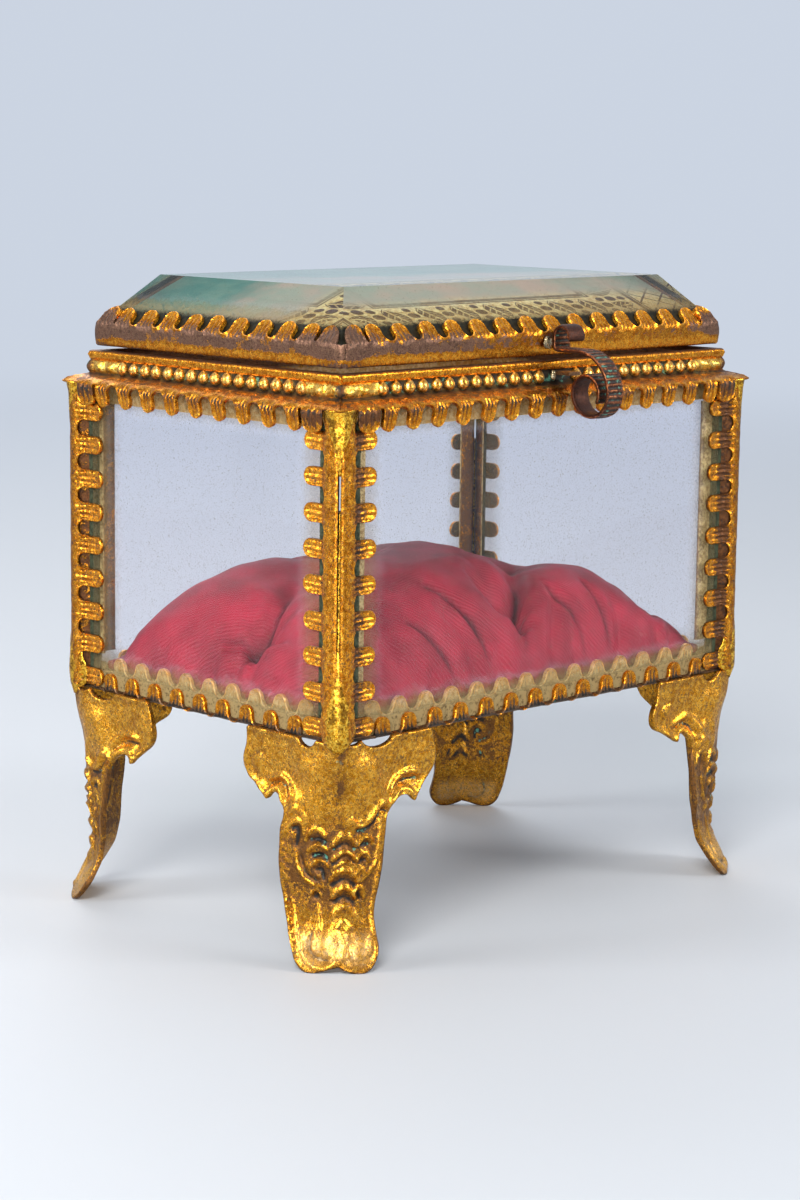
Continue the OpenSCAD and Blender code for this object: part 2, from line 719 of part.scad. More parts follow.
base_plate();
base_rail("front");  // base_rail_front
base_rail("back");  // base_rail_back
base_rail("left");  // base_rail_left
base_rail("right");  // base_rail_right
strip(-1, -1, true);  // strip_front_left_face
strip(-1, -1, false);  // strip_front_left_side
strip(1, -1, true);  // strip_front_right_face
strip(1, -1, false);  // strip_front_right_side
strip(-1, 1, true);  // strip_back_left_face
strip(-1, 1, false);  // strip_back_left_side
strip(1, 1, true);  // strip_back_right_face
strip(1, 1, false);  // strip_back_right_side
rim("front");  // rim_front
rim("back");  // rim_back
rim("left");  // rim_left
rim("right");  // rim_right
pane("front");  // pane_front
pane("back");  // pane_back
pane("left");  // pane_left
pane("right");  // pane_right
foot(-1, -1);  // foot_front_left
foot(1, -1);  // foot_front_right
foot(-1, 1);  // foot_back_left
foot(1, 1);  // foot_back_right
corner_solder();
cushion_card();
cushion();
hinge_leaf_body();
hinge_pin();
keeper();
keeper_solder();
lid_frame();
lid_glass();
lid_print();
lid_card();
latch_scroll();
latch_solder();
hinge_leaf_lid();
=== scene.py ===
# %% [markdown]
# # A glass casket in gilded brass
# This lesson dresses a small souvenir casket: four panes held by stamped brass strips, a lid of thick
# bevelled glass over a printed card, four cabriole feet and a tufted silk cushion. The real one was made
# from thin stamped sheet, joined with soft solder at the corners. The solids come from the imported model.
# They give every size and place, and the lesson adds what a solid can't show.
# %% Load the model
from functools import partial
import json
import math

import bmesh
import bpy
import numpy as np
from mathutils import Matrix, Vector, geometry

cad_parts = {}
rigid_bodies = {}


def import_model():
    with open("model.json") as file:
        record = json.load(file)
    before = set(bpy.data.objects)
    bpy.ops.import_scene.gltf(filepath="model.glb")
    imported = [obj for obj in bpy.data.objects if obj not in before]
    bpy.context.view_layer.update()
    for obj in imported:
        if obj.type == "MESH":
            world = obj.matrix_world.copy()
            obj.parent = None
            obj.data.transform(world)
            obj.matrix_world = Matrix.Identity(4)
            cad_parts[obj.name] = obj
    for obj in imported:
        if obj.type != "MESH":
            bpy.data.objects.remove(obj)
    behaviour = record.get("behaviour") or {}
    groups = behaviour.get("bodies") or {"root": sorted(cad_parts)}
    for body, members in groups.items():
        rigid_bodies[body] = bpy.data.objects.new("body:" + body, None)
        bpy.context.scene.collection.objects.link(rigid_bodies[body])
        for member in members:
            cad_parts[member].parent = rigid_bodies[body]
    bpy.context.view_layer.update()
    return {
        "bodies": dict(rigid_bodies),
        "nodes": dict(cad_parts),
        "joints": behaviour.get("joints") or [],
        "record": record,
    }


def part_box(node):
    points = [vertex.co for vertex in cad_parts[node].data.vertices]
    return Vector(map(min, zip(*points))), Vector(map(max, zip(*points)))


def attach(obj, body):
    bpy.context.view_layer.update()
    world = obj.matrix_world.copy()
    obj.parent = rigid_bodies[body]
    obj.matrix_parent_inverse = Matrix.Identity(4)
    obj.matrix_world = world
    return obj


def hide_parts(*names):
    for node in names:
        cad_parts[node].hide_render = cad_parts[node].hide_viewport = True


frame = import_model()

NODES = frame["nodes"]

# %% [markdown]
# ## Sizes
# The casket is about a hand wide. Work on something this small is easier in millimetres, so the lesson
# turns to metres only when a mesh is made. The main sizes are read off the solids, not typed again.
# Sheet metal, tabs and ribs keep the sizes that the strips were stamped at.
# %% Sizes from the solids, in millimetres
MM = 0.001
FRAME_GAP = 0.55  # from a pane's outer face to the base frame's face
SHEET = 0.5
TAB_W = 2.6
TAB_PITCH = 5.0


def box_mm(node):
    """The lowest and highest corner of a node of the model."""
    low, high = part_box(node)
    return np.array(low) / MM, np.array(high) / MM


SIDES = ("front", "right", "back", "left")
CORNERS = {"front_left": (-1, -1), "front_right": (1, -1), "back_left": (-1, 1), "back_right": (1, 1)}
HALF_W = box_mm("pane_right")[1][0] + FRAME_GAP
FRONT_Y = box_mm("pane_front")[0][1] - FRAME_GAP
BACK_Y = box_mm("pane_back")[1][1] + FRAME_GAP
MID_Y = (FRONT_Y + BACK_Y) / 2
HALF_D = (BACK_Y - FRONT_Y) / 2
FOOT_H = box_mm("base_rail_front")[0][2]
RIM_TOP = box_mm("rim_front")[1][2]
FLANGE_Z = box_mm("corner_solder")[1][2]
FLANGE_OUT = FRONT_Y - box_mm("rim_front")[0][1]
LID_LOW, LID_HIGH = box_mm("lid_frame")
LID_HALF_W = LID_HIGH[0]
LID_HALF_D = (LID_HIGH[1] - LID_LOW[1]) / 2


def side_length(side):
    return 2 * (HALF_W if side in ("front", "back") else HALF_D)


def at_corner(corner, x, y, z):
    """Model points from places inwards from the two faces that meet at a corner."""
    sx, sy = CORNERS[corner]
    found = np.broadcast_arrays(sx * (HALF_W - x), MID_Y + sy * (HALF_D - y), z)
    return np.stack(found, -1).reshape(-1, 3)


def diagonal(p, q):
    """Places inwards from the two faces at a corner, from p outwards along its diagonal and q across it."""
    return (-p + q) / math.sqrt(2), (-p - q) / math.sqrt(2)


print("base frame %.1f x %.1f" % (side_length("front"), side_length("right")))
print("rim top %.1f, lid top %.1f" % (RIM_TOP, box_mm("lid_glass")[1][2]))

# %% [markdown]
# ## From points to a piece
# Each piece is made as bare points and faces. One function turns them into an object that rides on its
# body, stands for its solids and says which material slot it belongs to. Point values such as how much
# gilding is left travel along as attributes, which the materials read. Modifiers would be shorter to
# write, but couldn't carry these values.
# %% Make a piece
DOUBLES = 0.004


def piece(name, points, faces, body, finish, stands_for=(), values=None, smooth=40):
    """A mesh piece from millimetre points. Edges are shaded round up to the angle smooth, in degrees."""
    mesh = bpy.data.meshes.new(name)
    places = (np.asarray(points, float) * MM).tolist()
    mesh.from_pydata(places, [], [tuple(int(i) for i in face) for face in faces])
    for key, value in (values or {}).items():
        layer = mesh.attributes.new(key, "FLOAT", "POINT")
        layer.data.foreach_set("value", np.asarray(value, np.float32))
    work = bmesh.new()
    work.from_mesh(mesh)
    bmesh.ops.remove_doubles(work, verts=work.verts, dist=DOUBLES * MM)
    bmesh.ops.recalc_face_normals(work, faces=work.faces)
    work.to_mesh(mesh)
    work.free()
    thing = bpy.data.objects.new(name, mesh)
    bpy.context.scene.collection.objects.link(thing)
    mesh.materials.append(finish)
    mesh.shade_smooth()
    if smooth < 180:
        mesh.set_sharp_from_angle(angle=math.radians(smooth))
    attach(thing, body)
    if stands_for:
        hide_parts(*stands_for)
    print(name, len(mesh.polygons), "faces")
    return thing


print("points closer than", DOUBLES, "mm become one")

# %% [markdown]
# ### Small tools for points
# Several pieces are repeated lumps or closed tubes of points. Wear, dents and stains are sums of smooth
# steps, bells and soft unevenness, which come out the same on every run.
# %% Tools for points
def joined(*meshes):
    """Several (points, faces, values) as one."""
    points, faces, values, start = [], [], {}, 0
    for p, f, v in meshes:
        points.append(np.asarray(p, float))
        faces += [tuple(i + start for i in face) for face in f]
        for key in v:
            values.setdefault(key, []).append(np.asarray(v[key], float))
        start += len(p)
    return np.vstack(points), faces, {k: np.concatenate(v) for k, v in values.items()}


def grid_faces(rows, columns, wrap=False):
    """Quads over a grid of points kept row by row; wrap closes each row on itself."""
    last = columns if wrap else columns - 1
    return [(i * columns + j, i * columns + (j + 1) % columns, (i + 1) * columns + (j + 1) % columns,
             (i + 1) * columns + j) for i in range(rows - 1) for j in range(last)]


def tube_faces(rows, columns):
    """Faces of a tube of rings of points, closed at both ends."""
    start = (rows - 1) * columns
    ends = [tuple(range(columns)), tuple(start + i for i in reversed(range(columns)))]
    return grid_faces(rows, columns, wrap=True) + ends


def smoothstep(low, high, x):
    """0 at low and 1 at high, with a smooth way between; low may be the higher number."""
    t = np.clip((x - low) / (high - low), 0, 1)
    return t * t * (3 - 2 * t)


def bell(x, middle, half):
    """1 at middle, falling off smoothly to both sides."""
    return np.exp(-((x - middle) / half) ** 2)


def wobble(x, y, size, seed):
    """Soft unevenness from -1 to 1 with bumps about size across, the same on every run."""
    turn = np.random.default_rng(seed).uniform(0, 2 * math.pi, 4)
    k = 2 * math.pi / size
    return (np.sin(k * x + turn[0]) + np.sin(0.7 * k * y + turn[1]) + np.sin(0.6 * k * (x + y) + turn[2])
            + np.sin(1.3 * k * (x - 0.6 * y) + turn[3])) / 4


print("a bell at its half width is %.2f high" % bell(1.0, 0.0, 1.0))

# %% [markdown]
# ## Sheet metal as a flat cut and a bend
# The real strips were stamped flat in a long press tool, with tabs along one edge, then bent over a
# former. The lesson does the same. A flat outline is filled with triangles, a section says how the sheet
# is bent across its width, and a relief lifts the stamped ribs. A box with a bump map would be quicker,
# but the tabs, notches and ribs make the outline of this object, so they are real shapes.
#
# First come the lines that a section is drawn with: arcs, and straight runs with rounded folds.
# %% Lines of a section
def arc(centre, radius, start, end, count=20, squeeze=1.0):
    """Points on an arc from start to end in degrees; squeeze flattens it in the second direction."""
    t = np.radians(np.linspace(start, end, count))
    return list(zip(centre[0] + radius * np.cos(t), centre[1] + squeeze * radius * np.sin(t)))


def rounded(corners, radius, count=6):
    """A polyline with its inner corners rounded. radius is one number or one for each inner corner."""
    radii = radius if isinstance(radius, (list, tuple)) else [radius] * (len(corners) - 2)
    points = [tuple(corners[0])]
    for before, corner, after, r in zip(corners, corners[1:], corners[2:], radii):
        before, corner, after = (np.array(p, float) for p in (before, corner, after))
        to, away = before - corner, after - corner
        reach = min(r, 0.49 * np.linalg.norm(to), 0.49 * np.linalg.norm(away))
        first, last = corner + to / np.linalg.norm(to) * reach, corner + away / np.linalg.norm(away) * reach
        for t in np.linspace(0, 1, count):
            points.append(tuple((1 - t) ** 2 * first + 2 * t * (1 - t) * corner + t * t * last))
    return points + [tuple(corners[-1])]


print("a rounded fold has", len(rounded([(1, 0), (0, 0), (0, 1)], 0.3)), "points")

# %% [markdown]
# ### A bent section
# A bent strip has one section along its whole length. The section is kept as a finely stepped line with
# its heading, so that any point of the flat strip can be bent, and lifted off the sheet, in one step.
# Blender could bend the strip with a modifier, but that can't follow several sharp folds.
# %% A bent section
class Section:
    """A bent sheet seen from its end, as the line of its outer face. side is 1 where outwards is to the
    right of the line and -1 where it is to the left."""

    def __init__(self, points, side=1, step=0.05):
        points = np.array(points, float)
        s = np.concatenate([[0], np.cumsum(np.linalg.norm(np.diff(points, axis=0), axis=1))])
        keep = np.concatenate([[True], np.diff(s) > 1e-6])
        self.length = s[-1]
        self.side = side
        self.s = np.linspace(0, self.length, int(self.length / step) + 2)
        self.a = np.interp(self.s, s[keep], points[keep, 0])
        self.b = np.interp(self.s, s[keep], points[keep, 1])
        self.angle = np.unwrap(np.arctan2(np.gradient(self.b), np.gradient(self.a)))

    def at(self, s, lift=0.0):
        """Points of the section at the lengths s, lifted outwards off the sheet."""
        angle = np.interp(s, self.s, self.angle)
        a = np.interp(s, self.s, self.a) + self.side * lift * np.sin(angle)
        b = np.interp(s, self.s, self.b) - self.side * lift * np.cos(angle)
        return a, b

    def levels(self, fine=0.18, coarse=0.9):
        """Lengths along the section, close together where it bends."""
        found, last = [], 0.0
        bend = np.abs(np.gradient(self.angle, self.s))
        while last < self.length - fine:
            here = np.interp(last, self.s, bend)
            ahead = np.interp(min(last + coarse, self.length), self.s, bend)
            last += float(np.clip(0.24 / max(here, ahead, 0.05), fine, coarse))
            found.append(last)
        return [s for s in found if s < self.length - 0.12]


print("a quarter turn of radius 1 is %.3f long" % Section(arc((0, 0), 1, 0, 90)).length)

# %% [markdown]
# ### A comb
# The press tool cut tabs with round tips along one edge of the strip, and round notches between them.
# The comb keeps that edge as a function of the place along the strip, because the outline, the points
# inside it and the ribs are all drawn from it. One tab repeated would leave seams.
# %% A comb
TIP_H = 1.3
GRID = 0.9  # how far apart the points of a straight edge are, at most


def split_long(line, longest):
    """The line with points added wherever two of its points are further apart than longest."""
    found = []
    for a, b in zip(line, line[1:]):
        found += stepped(a, b, max(1, math.ceil(math.dist(a, b) / longest)))
    return found + [line[-1]]


def stepped(a, b, count):
    """count points from a towards b, without b."""
    return [(a[0] + (b[0] - a[0]) * i / count, a[1] + (b[1] - a[1]) * i / count) for i in range(count)]


class Comb:
    """A strip with a tabbed edge: length along x, tabs as (middle, width) standing from root to reach. cut
    is (first, last, height): outside first to last the straight edge starts at that height. shoulder is
    (inset, height): nearer to either end than inset the strip is only that high."""

    def __init__(self, length, root, reach, tabs, cut=None, shoulder=None):
        self.length, self.root, self.reach, self.tabs = length, root, reach, sorted(tabs)
        self.cut, self.shoulder = cut, shoulder

    def top(self, x):
        """How far the strip reaches at x."""
        x = np.asarray(x, float)
        y = np.full_like(x, self.root)
        for (xa, wa), (xb, wb) in zip(self.tabs, self.tabs[1:]):
            low, high = xa + wa / 2, xb - wb / 2
            r = (high - low) / 2
            inside = (x >= low) & (x <= high)
            y[inside] = self.root + r - np.sqrt(np.maximum(r * r - (x[inside] - low - r) ** 2, 0))
        for middle, width in self.tabs:
            t = np.abs(x - middle) / (width / 2)
            inside = t <= 1
            y[inside] = self.reach - TIP_H + TIP_H * np.sqrt(1 - t[inside] ** 2)
        if self.shoulder:
            low, height = self.shoulder
            y[(x < low) | (x > self.length - low)] = height
        return y

    def edge_gap(self, x, y):
        """How far points on the strip are from its tabbed edge."""
        found = np.where(np.abs(self.tab_of(x)[1]) < 1, self.top(x) - y, 9.0)
        pairs = zip(self.tabs, self.tabs[1:])
        sides = np.array([(xa + wa / 2, xb - wb / 2) for (xa, wa), (xb, wb) in pairs])
        middles = sides.mean(1)
        number = np.abs(x[:, None] - middles[None]).argmin(1)
        r = (sides[number, 1] - sides[number, 0]) / 2
        return np.minimum(found, np.hypot(x - middles[number], np.minimum(y - self.root - r, 0)) - r)

    def bottom(self, x):
        """Where the strip starts at x."""
        x = np.asarray(x, float)
        if not self.cut:
            return np.zeros_like(x)
        first, last, height = self.cut
        return np.where((x < first) | (x > last), height, 0.0)

    def tab_of(self, x):
        """For each x the nearest tab's number and how far across it, from -1 to 1 on the tab."""
        middles = np.array([m for m, _ in self.tabs])
        number = np.abs(np.asarray(x)[:, None] - middles[None]).argmin(1)
        widths = np.array([w for _, w in self.tabs])[number]
        return number, (x - middles[number]) / (widths / 2)

    def tabbed_edge(self):
        """Points along the tabbed edge from left to right, close together at the sides of the tabs."""
        stops = [0.0, self.length]
        for middle, width in self.tabs:
            stops += [middle - width / 2, middle + width / 2]
        if self.shoulder:
            stops += [self.shoulder[0], self.length - self.shoulder[0]]
        stops.sort()
        edge = []
        for low, high in zip(stops, stops[1:]):
            if high - low < 0.02:
                continue
            count = max(4, int((high - low) / 0.2))
            t = (1 - np.cos(np.linspace(0, math.pi, count + 1))) / 2
            x = low + (high - low) * np.clip(t, 1e-3, 1 - 1e-3)
            edge += list(zip(x, self.top(x)))
        edge[0], edge[-1] = (0.0, edge[0][1]), (self.length, edge[-1][1])
        return split_long(edge, GRID / 2)

    def outline(self):
        """The outline as points, counter-clockwise: the straight edge, then the tabbed edge."""
        edge = self.tabbed_edge()
        stops = [(0.0, 0.0), (self.length, 0.0)]
        if self.cut:
            first, last, height = self.cut
            stops = [(0.0, height), (first, height), (first, 0.0)]
            stops += [(last, 0.0), (last, height), (self.length, height)]
        line = []
        for a, b in zip(stops, stops[1:] + [edge[-1]]):
            line += stepped(a, b, max(1, round(math.dist(a, b) / GRID)))
        left = stepped(stops[0], edge[0], max(1, round((edge[0][1] - stops[0][1]) / GRID)))
        return np.array(line + edge[::-1] + left[:0:-1])

    def inner(self, levels, fine=0.17, coarse=0.8):
        """Points inside at the given levels: close together across the tabs, where the ribs run."""
        found = []
        for y in levels:
            if y < self.root - 0.3:
                x = np.arange(coarse / 2, self.length - coarse / 3, coarse)
            else:
                tabs = [np.arange(m - w / 2 + 0.22, m + w / 2 - 0.2, fine) for m, w in self.tabs]
                x = np.concatenate(tabs)
            keep = (self.top(x) - y > 0.24) & (y - self.bottom(x) > 0.24)
            found += [(float(v), y) for v in x[keep]]
        return np.array(found)


WIDE_TAB = 3.3


def even_tabs(length, first, wide_at=None, shake=0.05, seed=0, width=TAB_W):
    """Tabs at an even pitch from first to the same place at the other end, and wide ones at wide_at. shake
    moves each a little, as stamped strips have them."""
    last = length - first
    count = max(1, round((last - first) / TAB_PITCH))
    moved = np.random.default_rng(seed).uniform(-shake, shake, count + 1)
    tabs = [(first + i * (last - first) / count + moved[i], width) for i in range(count + 1)]
    return tabs + ([(wide_at, WIDE_TAB), (length - wide_at, WIDE_TAB)] if wide_at else [])


plain_comb = Comb(20, 2, 6, [(5, TAB_W), (10, TAB_W), (15, TAB_W)])
print("a comb with 3 tabs has", len(plain_comb.outline()), "points round it")

# %% [markdown]
# ### Ribs stamped into tabs
# Each tab was stamped with three ribs that stop short of the tip, inside a raised border, and every tab
# stands off the glass a little differently. The gilding is left on what is raised and towards the tips.
# A bump map would do from straight on, but the ribs catch the light at an angle, so they are real.
# %% Ribs stamped into tabs
RIBS = 3
RIB_STOP = 1.2  # how far from the tip the ribs fade out
RIB_SPAN = 0.82  # the ribs' share of a tab's width


def tab_relief(comb, height=0.18, rim=0.10, root_gold=0.0, tilt=0.12, seed=0):
    """Two functions for a comb: how high its tabs are stamped, and its wear and grime. height is that of
    the ribs and rim of the border, root_gold how far the gilding reaches back, tilt how far tips stand
    off."""
    lean = np.random.default_rng(seed).uniform(-0.3, 1, len(comb.tabs) + 1) * tilt

    def parts(flat):
        x, y = flat[:, 0], flat[:, 1]
        number, t = comb.tab_of(x)
        along = (y - comb.root) / (comb.reach - comb.root)
        on = smoothstep(1.12, 0.95, np.abs(t)) * smoothstep(-0.12, 0.15, along)
        edge = comb.edge_gap(x, y)
        across = np.clip((t + RIB_SPAN) / (2 * RIB_SPAN), 0, 1)
        rib = 0.5 - 0.5 * np.cos(2 * math.pi * RIBS * across)
        rib *= smoothstep(comb.reach, comb.reach - RIB_STOP, y)
        return lean[number], along, on, rib, smoothstep(0.46, 0.14, edge)

    def relief(flat):
        stands_off, along, on, rib, border = parts(flat)
        lift = on * height * (rib - 0.5) * (1 - border) + rim * border
        lift += on * stands_off * np.clip(along, 0, 1) ** 1.5
        return lift + 0.03 * wobble(flat[:, 0], flat[:, 1], 7.0, seed)

    def values(flat, lift):
        _, along, on, rib, border = parts(flat)
        tipward = smoothstep(0.15 - root_gold, 0.85 - root_gold, along)
        raised = np.maximum(rib * on, border)
        gold = 0.22 + 0.50 * tipward + 0.24 * raised
        soil = 0.25 + 0.45 * on * (1 - raised) + 0.25 * smoothstep(0.25, -0.1, along) * (1 - border)
        return {"wear": gold, "grime": soil, "pale": 0 * gold}

    return relief, values


print("ribs on a tab", RIBS)

# %% [markdown]
# ### Fill, bend and thicken
# The flat outline is filled with triangles, with a ring of points just inside the edge so that the edge
# stays crisp, and bent by the section. The front and the back of the sheet are then closed along the
# outline. A modifier for thickness would make the same shape, but the wear needs values on both sides.
# %% Fill, bend and thicken a sheet
def inset(outline, depth):
    """The outline moved inwards by depth."""
    ahead, behind = np.roll(outline, -1, 0), np.roll(outline, 1, 0)
    along = ahead - behind
    along /= np.maximum(np.linalg.norm(along, axis=1), 1e-9)[:, None]
    return outline + depth * np.column_stack([-along[:, 1], along[:, 0]])


def fill(outline, inner):
    """Triangles between an outline and points inside it. Gives the points in use and the triangles."""
    flat = [Vector(p) for p in np.vstack([outline, inner])]
    count = len(outline)
    loop = [(i, (i + 1) % count) for i in range(count)]
    verts, _, faces, source, _, _ = geometry.delaunay_2d_cdt(flat, loop, [list(range(count))], 1, 1e-5)
    return np.array([tuple(v) for v in verts]), [tuple(f) for f in faces], source


def sheet(outline, inner, place, relief, values, thick=SHEET, edge=0.12, open_edge=None):
    """A thick bent sheet. place(flat, lift) bends flat points into the model, relief(flat) gives how far
    each is stamped up, and values(flat, height) gives the attributes. open_edge(flat) is True where two
    ends meet, so that the sheet isn't closed there."""
    ring = inset(outline, edge)
    flat, triangles, source = fill(outline, np.vstack([ring, inner]))
    count = len(outline)
    first = {old: new for new, olds in enumerate(source) for old in olds if old < count}
    height = relief(flat)
    rim = np.array([any(old < count for old in olds) for olds in source])
    front = place(flat, height - np.where(rim, edge, 0))
    back = place(flat, np.full(len(flat), -thick))
    faces = list(triangles) + [tuple(i + len(flat) for i in reversed(t)) for t in triangles]
    met = open_edge(outline) if open_edge else np.zeros(count, bool)
    for i in range(count):
        j = (i + 1) % count
        if not (met[i] and met[j]):
            a, b = first[i], first[j]
            faces.append((a, a + len(flat), b + len(flat), b))
    data = values(flat, height)
    return np.vstack([front, back]), faces, {k: np.concatenate([v, v]) for k, v in data.items()}


square = np.array([(0, 0), (1, 0), (1, 1), (0, 1)])
print("a square with one point inside:", len(fill(square, [(0.5, 0.5)])[1]), "triangles")
# %% [markdown]
# ## Finishes
# The casket has few materials: gilded brass with a brown patina, soft solder, cut glass, a colour print
# and silk. Painted images would need a layout for every piece, so each finish is built from noise at a
# size in millimetres instead. One small function turns a paint colour into light, and one adds a node.
# %% Node helpers
SIGNS = {"+": "ADD", "-": "SUBTRACT", "*": "MULTIPLY"}
USUAL = {"Mix": {"data_type": "RGBA"}, "MapRange": {"interpolation_type": "SMOOTHSTEP"}}


def linear(code):
    """A colour code such as 'c8922a' as linear light."""
    parts = [int(code[i:i + 2], 16) / 255 for i in (0, 2, 4)]
    return tuple(v / 12.92 if v <= 0.04045 else ((v + 0.055) / 1.055) ** 2.4 for v in parts) + (1.0,)


def add_node(tree, kind, *values, out=None, **named):
    """Adds a node and gives its output. A sign or a kind in capitals is a step of arithmetic. Values are
    numbers, colour codes or other nodes' outputs, and fill the inputs in order. Named ones are settings, or
    inputs with _ for a space in their name."""
    kind = SIGNS.get(kind, kind)
    node = tree.nodes.new("ShaderNode" + ("Math" if kind.isupper() else kind))
    settings = {"operation": kind} if kind.isupper() else dict(USUAL.get(kind, {}))
    settings.update({key: value for key, value in named.items() if hasattr(node, key)})
    for key, value in settings.items():
        setattr(node, key, value)
    sockets = list(zip([socket for socket in node.inputs if socket.enabled], values))
    sockets += [(node.inputs[key.replace("_", " ")], named[key]) for key in named if key not in settings]
    for socket, value in sockets:
        if isinstance(value, bpy.types.NodeSocket):
            tree.links.new(value, socket)
        else:
            socket.default_value = linear(value) if isinstance(value, str) else value
    return node.outputs[out] if out else next((socket for socket in node.outputs if socket.enabled), None)


def material(name):
    """An empty material, and the function that adds nodes to it."""
    made = bpy.data.materials.new(name)
    made.use_nodes = True
    made.node_tree.nodes.clear()
    return made, partial(add_node, made.node_tree)


def place_mm(add):
    """The place on the object in millimetres, which stays with a piece when the lid opens."""
    return add("VectorMath", add("TexCoord", out="Object"), 1 / MM, operation="SCALE")


print("gilding c8922a as linear light", [round(v, 3) for v in linear("c8922a")])

# %% [markdown]
# ### Gilded brass
# Stamped brass strip, acid-dipped and thinly fire-gilded, as cheap souvenirs were. The gilding stays on
# raised ribs and tips, brown patina shows where it rubbed off, dark grime sits in the hollows and a
# little verdigris grows by the solder. One metal colour would look new, so the metal is layered as it
# aged. The attribute wear says how much gilding is left, grime how much dirt and, in some
# folds, slits and gaps, painted shade, and pale where the strip was never gilded and is dull and dusty,
# as behind the panes. Noise breaks all of them up.
# %% Gilded brass


def gilded_brass(name, gilt="de8519", pale="ffb941", low="85450e", patina="57351f", brown="7d5230",
                 dirt="160f09", green="5fa48f", left=0.5, dirty=0.5, greened=0.15, rough=0.24, relief=0.6,
                 drawn=1.0, streaky=0.75, pits=0.0):
    """left, dirty and greened say how much gilding, grime and verdigris the piece has, from 0 to 1. Below
    1, drawn stretches the streaks along Z, as on a strip drawn through rollers. streaky is the strength of
    the streaks, and pits adds corrosion pits."""
    made, add = material(name)
    where = place_mm(add)
    keys = ("wear", "grime", "pale")
    wear, grime, unlit = (add("Attribute", attribute_name=key, out="Fac") for key in keys)
    coarse = add("TexNoise", where, 1 / 2.2, 3, 0.55)
    middle = add("TexNoise", where, 1 / 0.6, 5, 0.7)
    fine = add("TexNoise", where, 1 / 0.17, 3, 0.6)
    smaller = add("+", add("*", middle, 0.45), add("*", fine, 0.20))
    mottle = add("+", add("*", coarse, 0.35), smaller)

    # gilding over patina
    amount = add("+", add("+", wear, left - 1.0), add("+", add("*", mottle, 1.5), -0.25))
    gold = add("MapRange", amount, 0.49, 0.53)
    along = add("VectorMath", where, (1, 1, drawn), operation="MULTIPLY") if drawn != 1 else where
    streaks = add("TexNoise", along, 1 / 0.38, 4, 0.75)
    gold_tone = add("Mix", add("MapRange", middle, 0.34, 0.70), gilt, pale)
    gold_tone = add("Mix", add("MapRange", streaks, 0.34, 0.46, streaky, 0), gold_tone, low)
    gold_tone = add("Mix", add("MapRange", amount, 0.56, 0.85, 0.5, 0), gold_tone, low)
    patina_tone = add("Mix", add("MapRange", fine, 0.35, 0.65), patina, brown)
    patina_tone = add("Mix", add("MapRange", middle, 0.50, 0.66, 0, 0.55), patina_tone, dirt)
    base = add("Mix", gold, patina_tone, gold_tone)

    # grime, painted shade and corrosion pits
    soot_and_shade = add("+", grime, add("*", add("+", mottle, -0.5), 2.4))
    soot_and_shade = add("MapRange", soot_and_shade, 0.92 - 0.45 * dirty, 1.14 - 0.45 * dirty)
    rare = 0.625 - 0.06 * dirty - 0.05 * pits
    holes = add("MapRange", add("TexNoise", where, 1 / 0.42, 3, 0.75), rare, rare + 0.03)
    pitted = add("*", holes, 0.55 + 0.4 * dirty)
    soot_and_shade = add("MAXIMUM", soot_and_shade, add("*", pitted, add("MapRange", coarse, 0.35, 0.6, 0.55, 1.0)))
    # the dark colour stands for grime and for painted shade in folds, slits and gaps
    base = add("Mix", soot_and_shade, base, dirt)

    # verdigris, and dust on what was never gilded
    patches = add("+", add("TexNoise", where, 1 / 1.3, 5, 0.7), add("*", grime, 0.20))
    verdigris = add("MapRange", patches, 0.86 - 0.22 * greened, 0.92 - 0.22 * greened, 0, 0.75)
    base = add("Mix", verdigris, base, green)
    dusty = add("*", unlit, add("MapRange", middle, 0.15, 0.75, 1.0, 0.65))
    dust = add("Mix", add("MapRange", middle, 0.4, 0.62), "ecd39a", "a9824c")
    base = add("Mix", dusty, base, dust)

    # what is covered isn't metallic
    covered = add("MAXIMUM", add("*", soot_and_shade, 0.85), verdigris)
    bare = add("-", 1.0, add("MAXIMUM", covered, add("*", dusty, 0.8)))
    metallic = add("*", add("MapRange", gold, 0, 1, 0.8, 1.0), bare)
    matte = add("-", 1.0, add("*", gold, bare))
    polish = add("MapRange", fine, 0.3, 0.7, rough - 0.04, rough + 0.10)
    roughness = add("+", polish, add("*", matte, 0.16))

    # small unevenness of the sheet, of the gilding's edge and of the pits
    waves = add("TexNoise", where, 1 / 1.0, 2, 0.5)
    grain = add("+", add("*", middle, 0.5), add("*", fine, 0.16))
    rise = add("+", add("*", waves, 1.2), grain)
    rise = add("+", rise, add("*", add("-", 1.0, gold), -0.15))
    rise = add("+", rise, add("*", holes, -0.25))
    bump = add("Bump", Strength=relief, Distance=0.11 * MM, Height=rise)
    add("OutputMaterial", add("BsdfPrincipled", base, metallic, roughness, Normal=bump))
    return made


brass = gilded_brass("gilded_strip", low="6f370c", left=0.58, dirty=0.5, greened=0.16, drawn=0.3, pits=1.0)
print("gilded brass", len(brass.node_tree.nodes), "nodes")

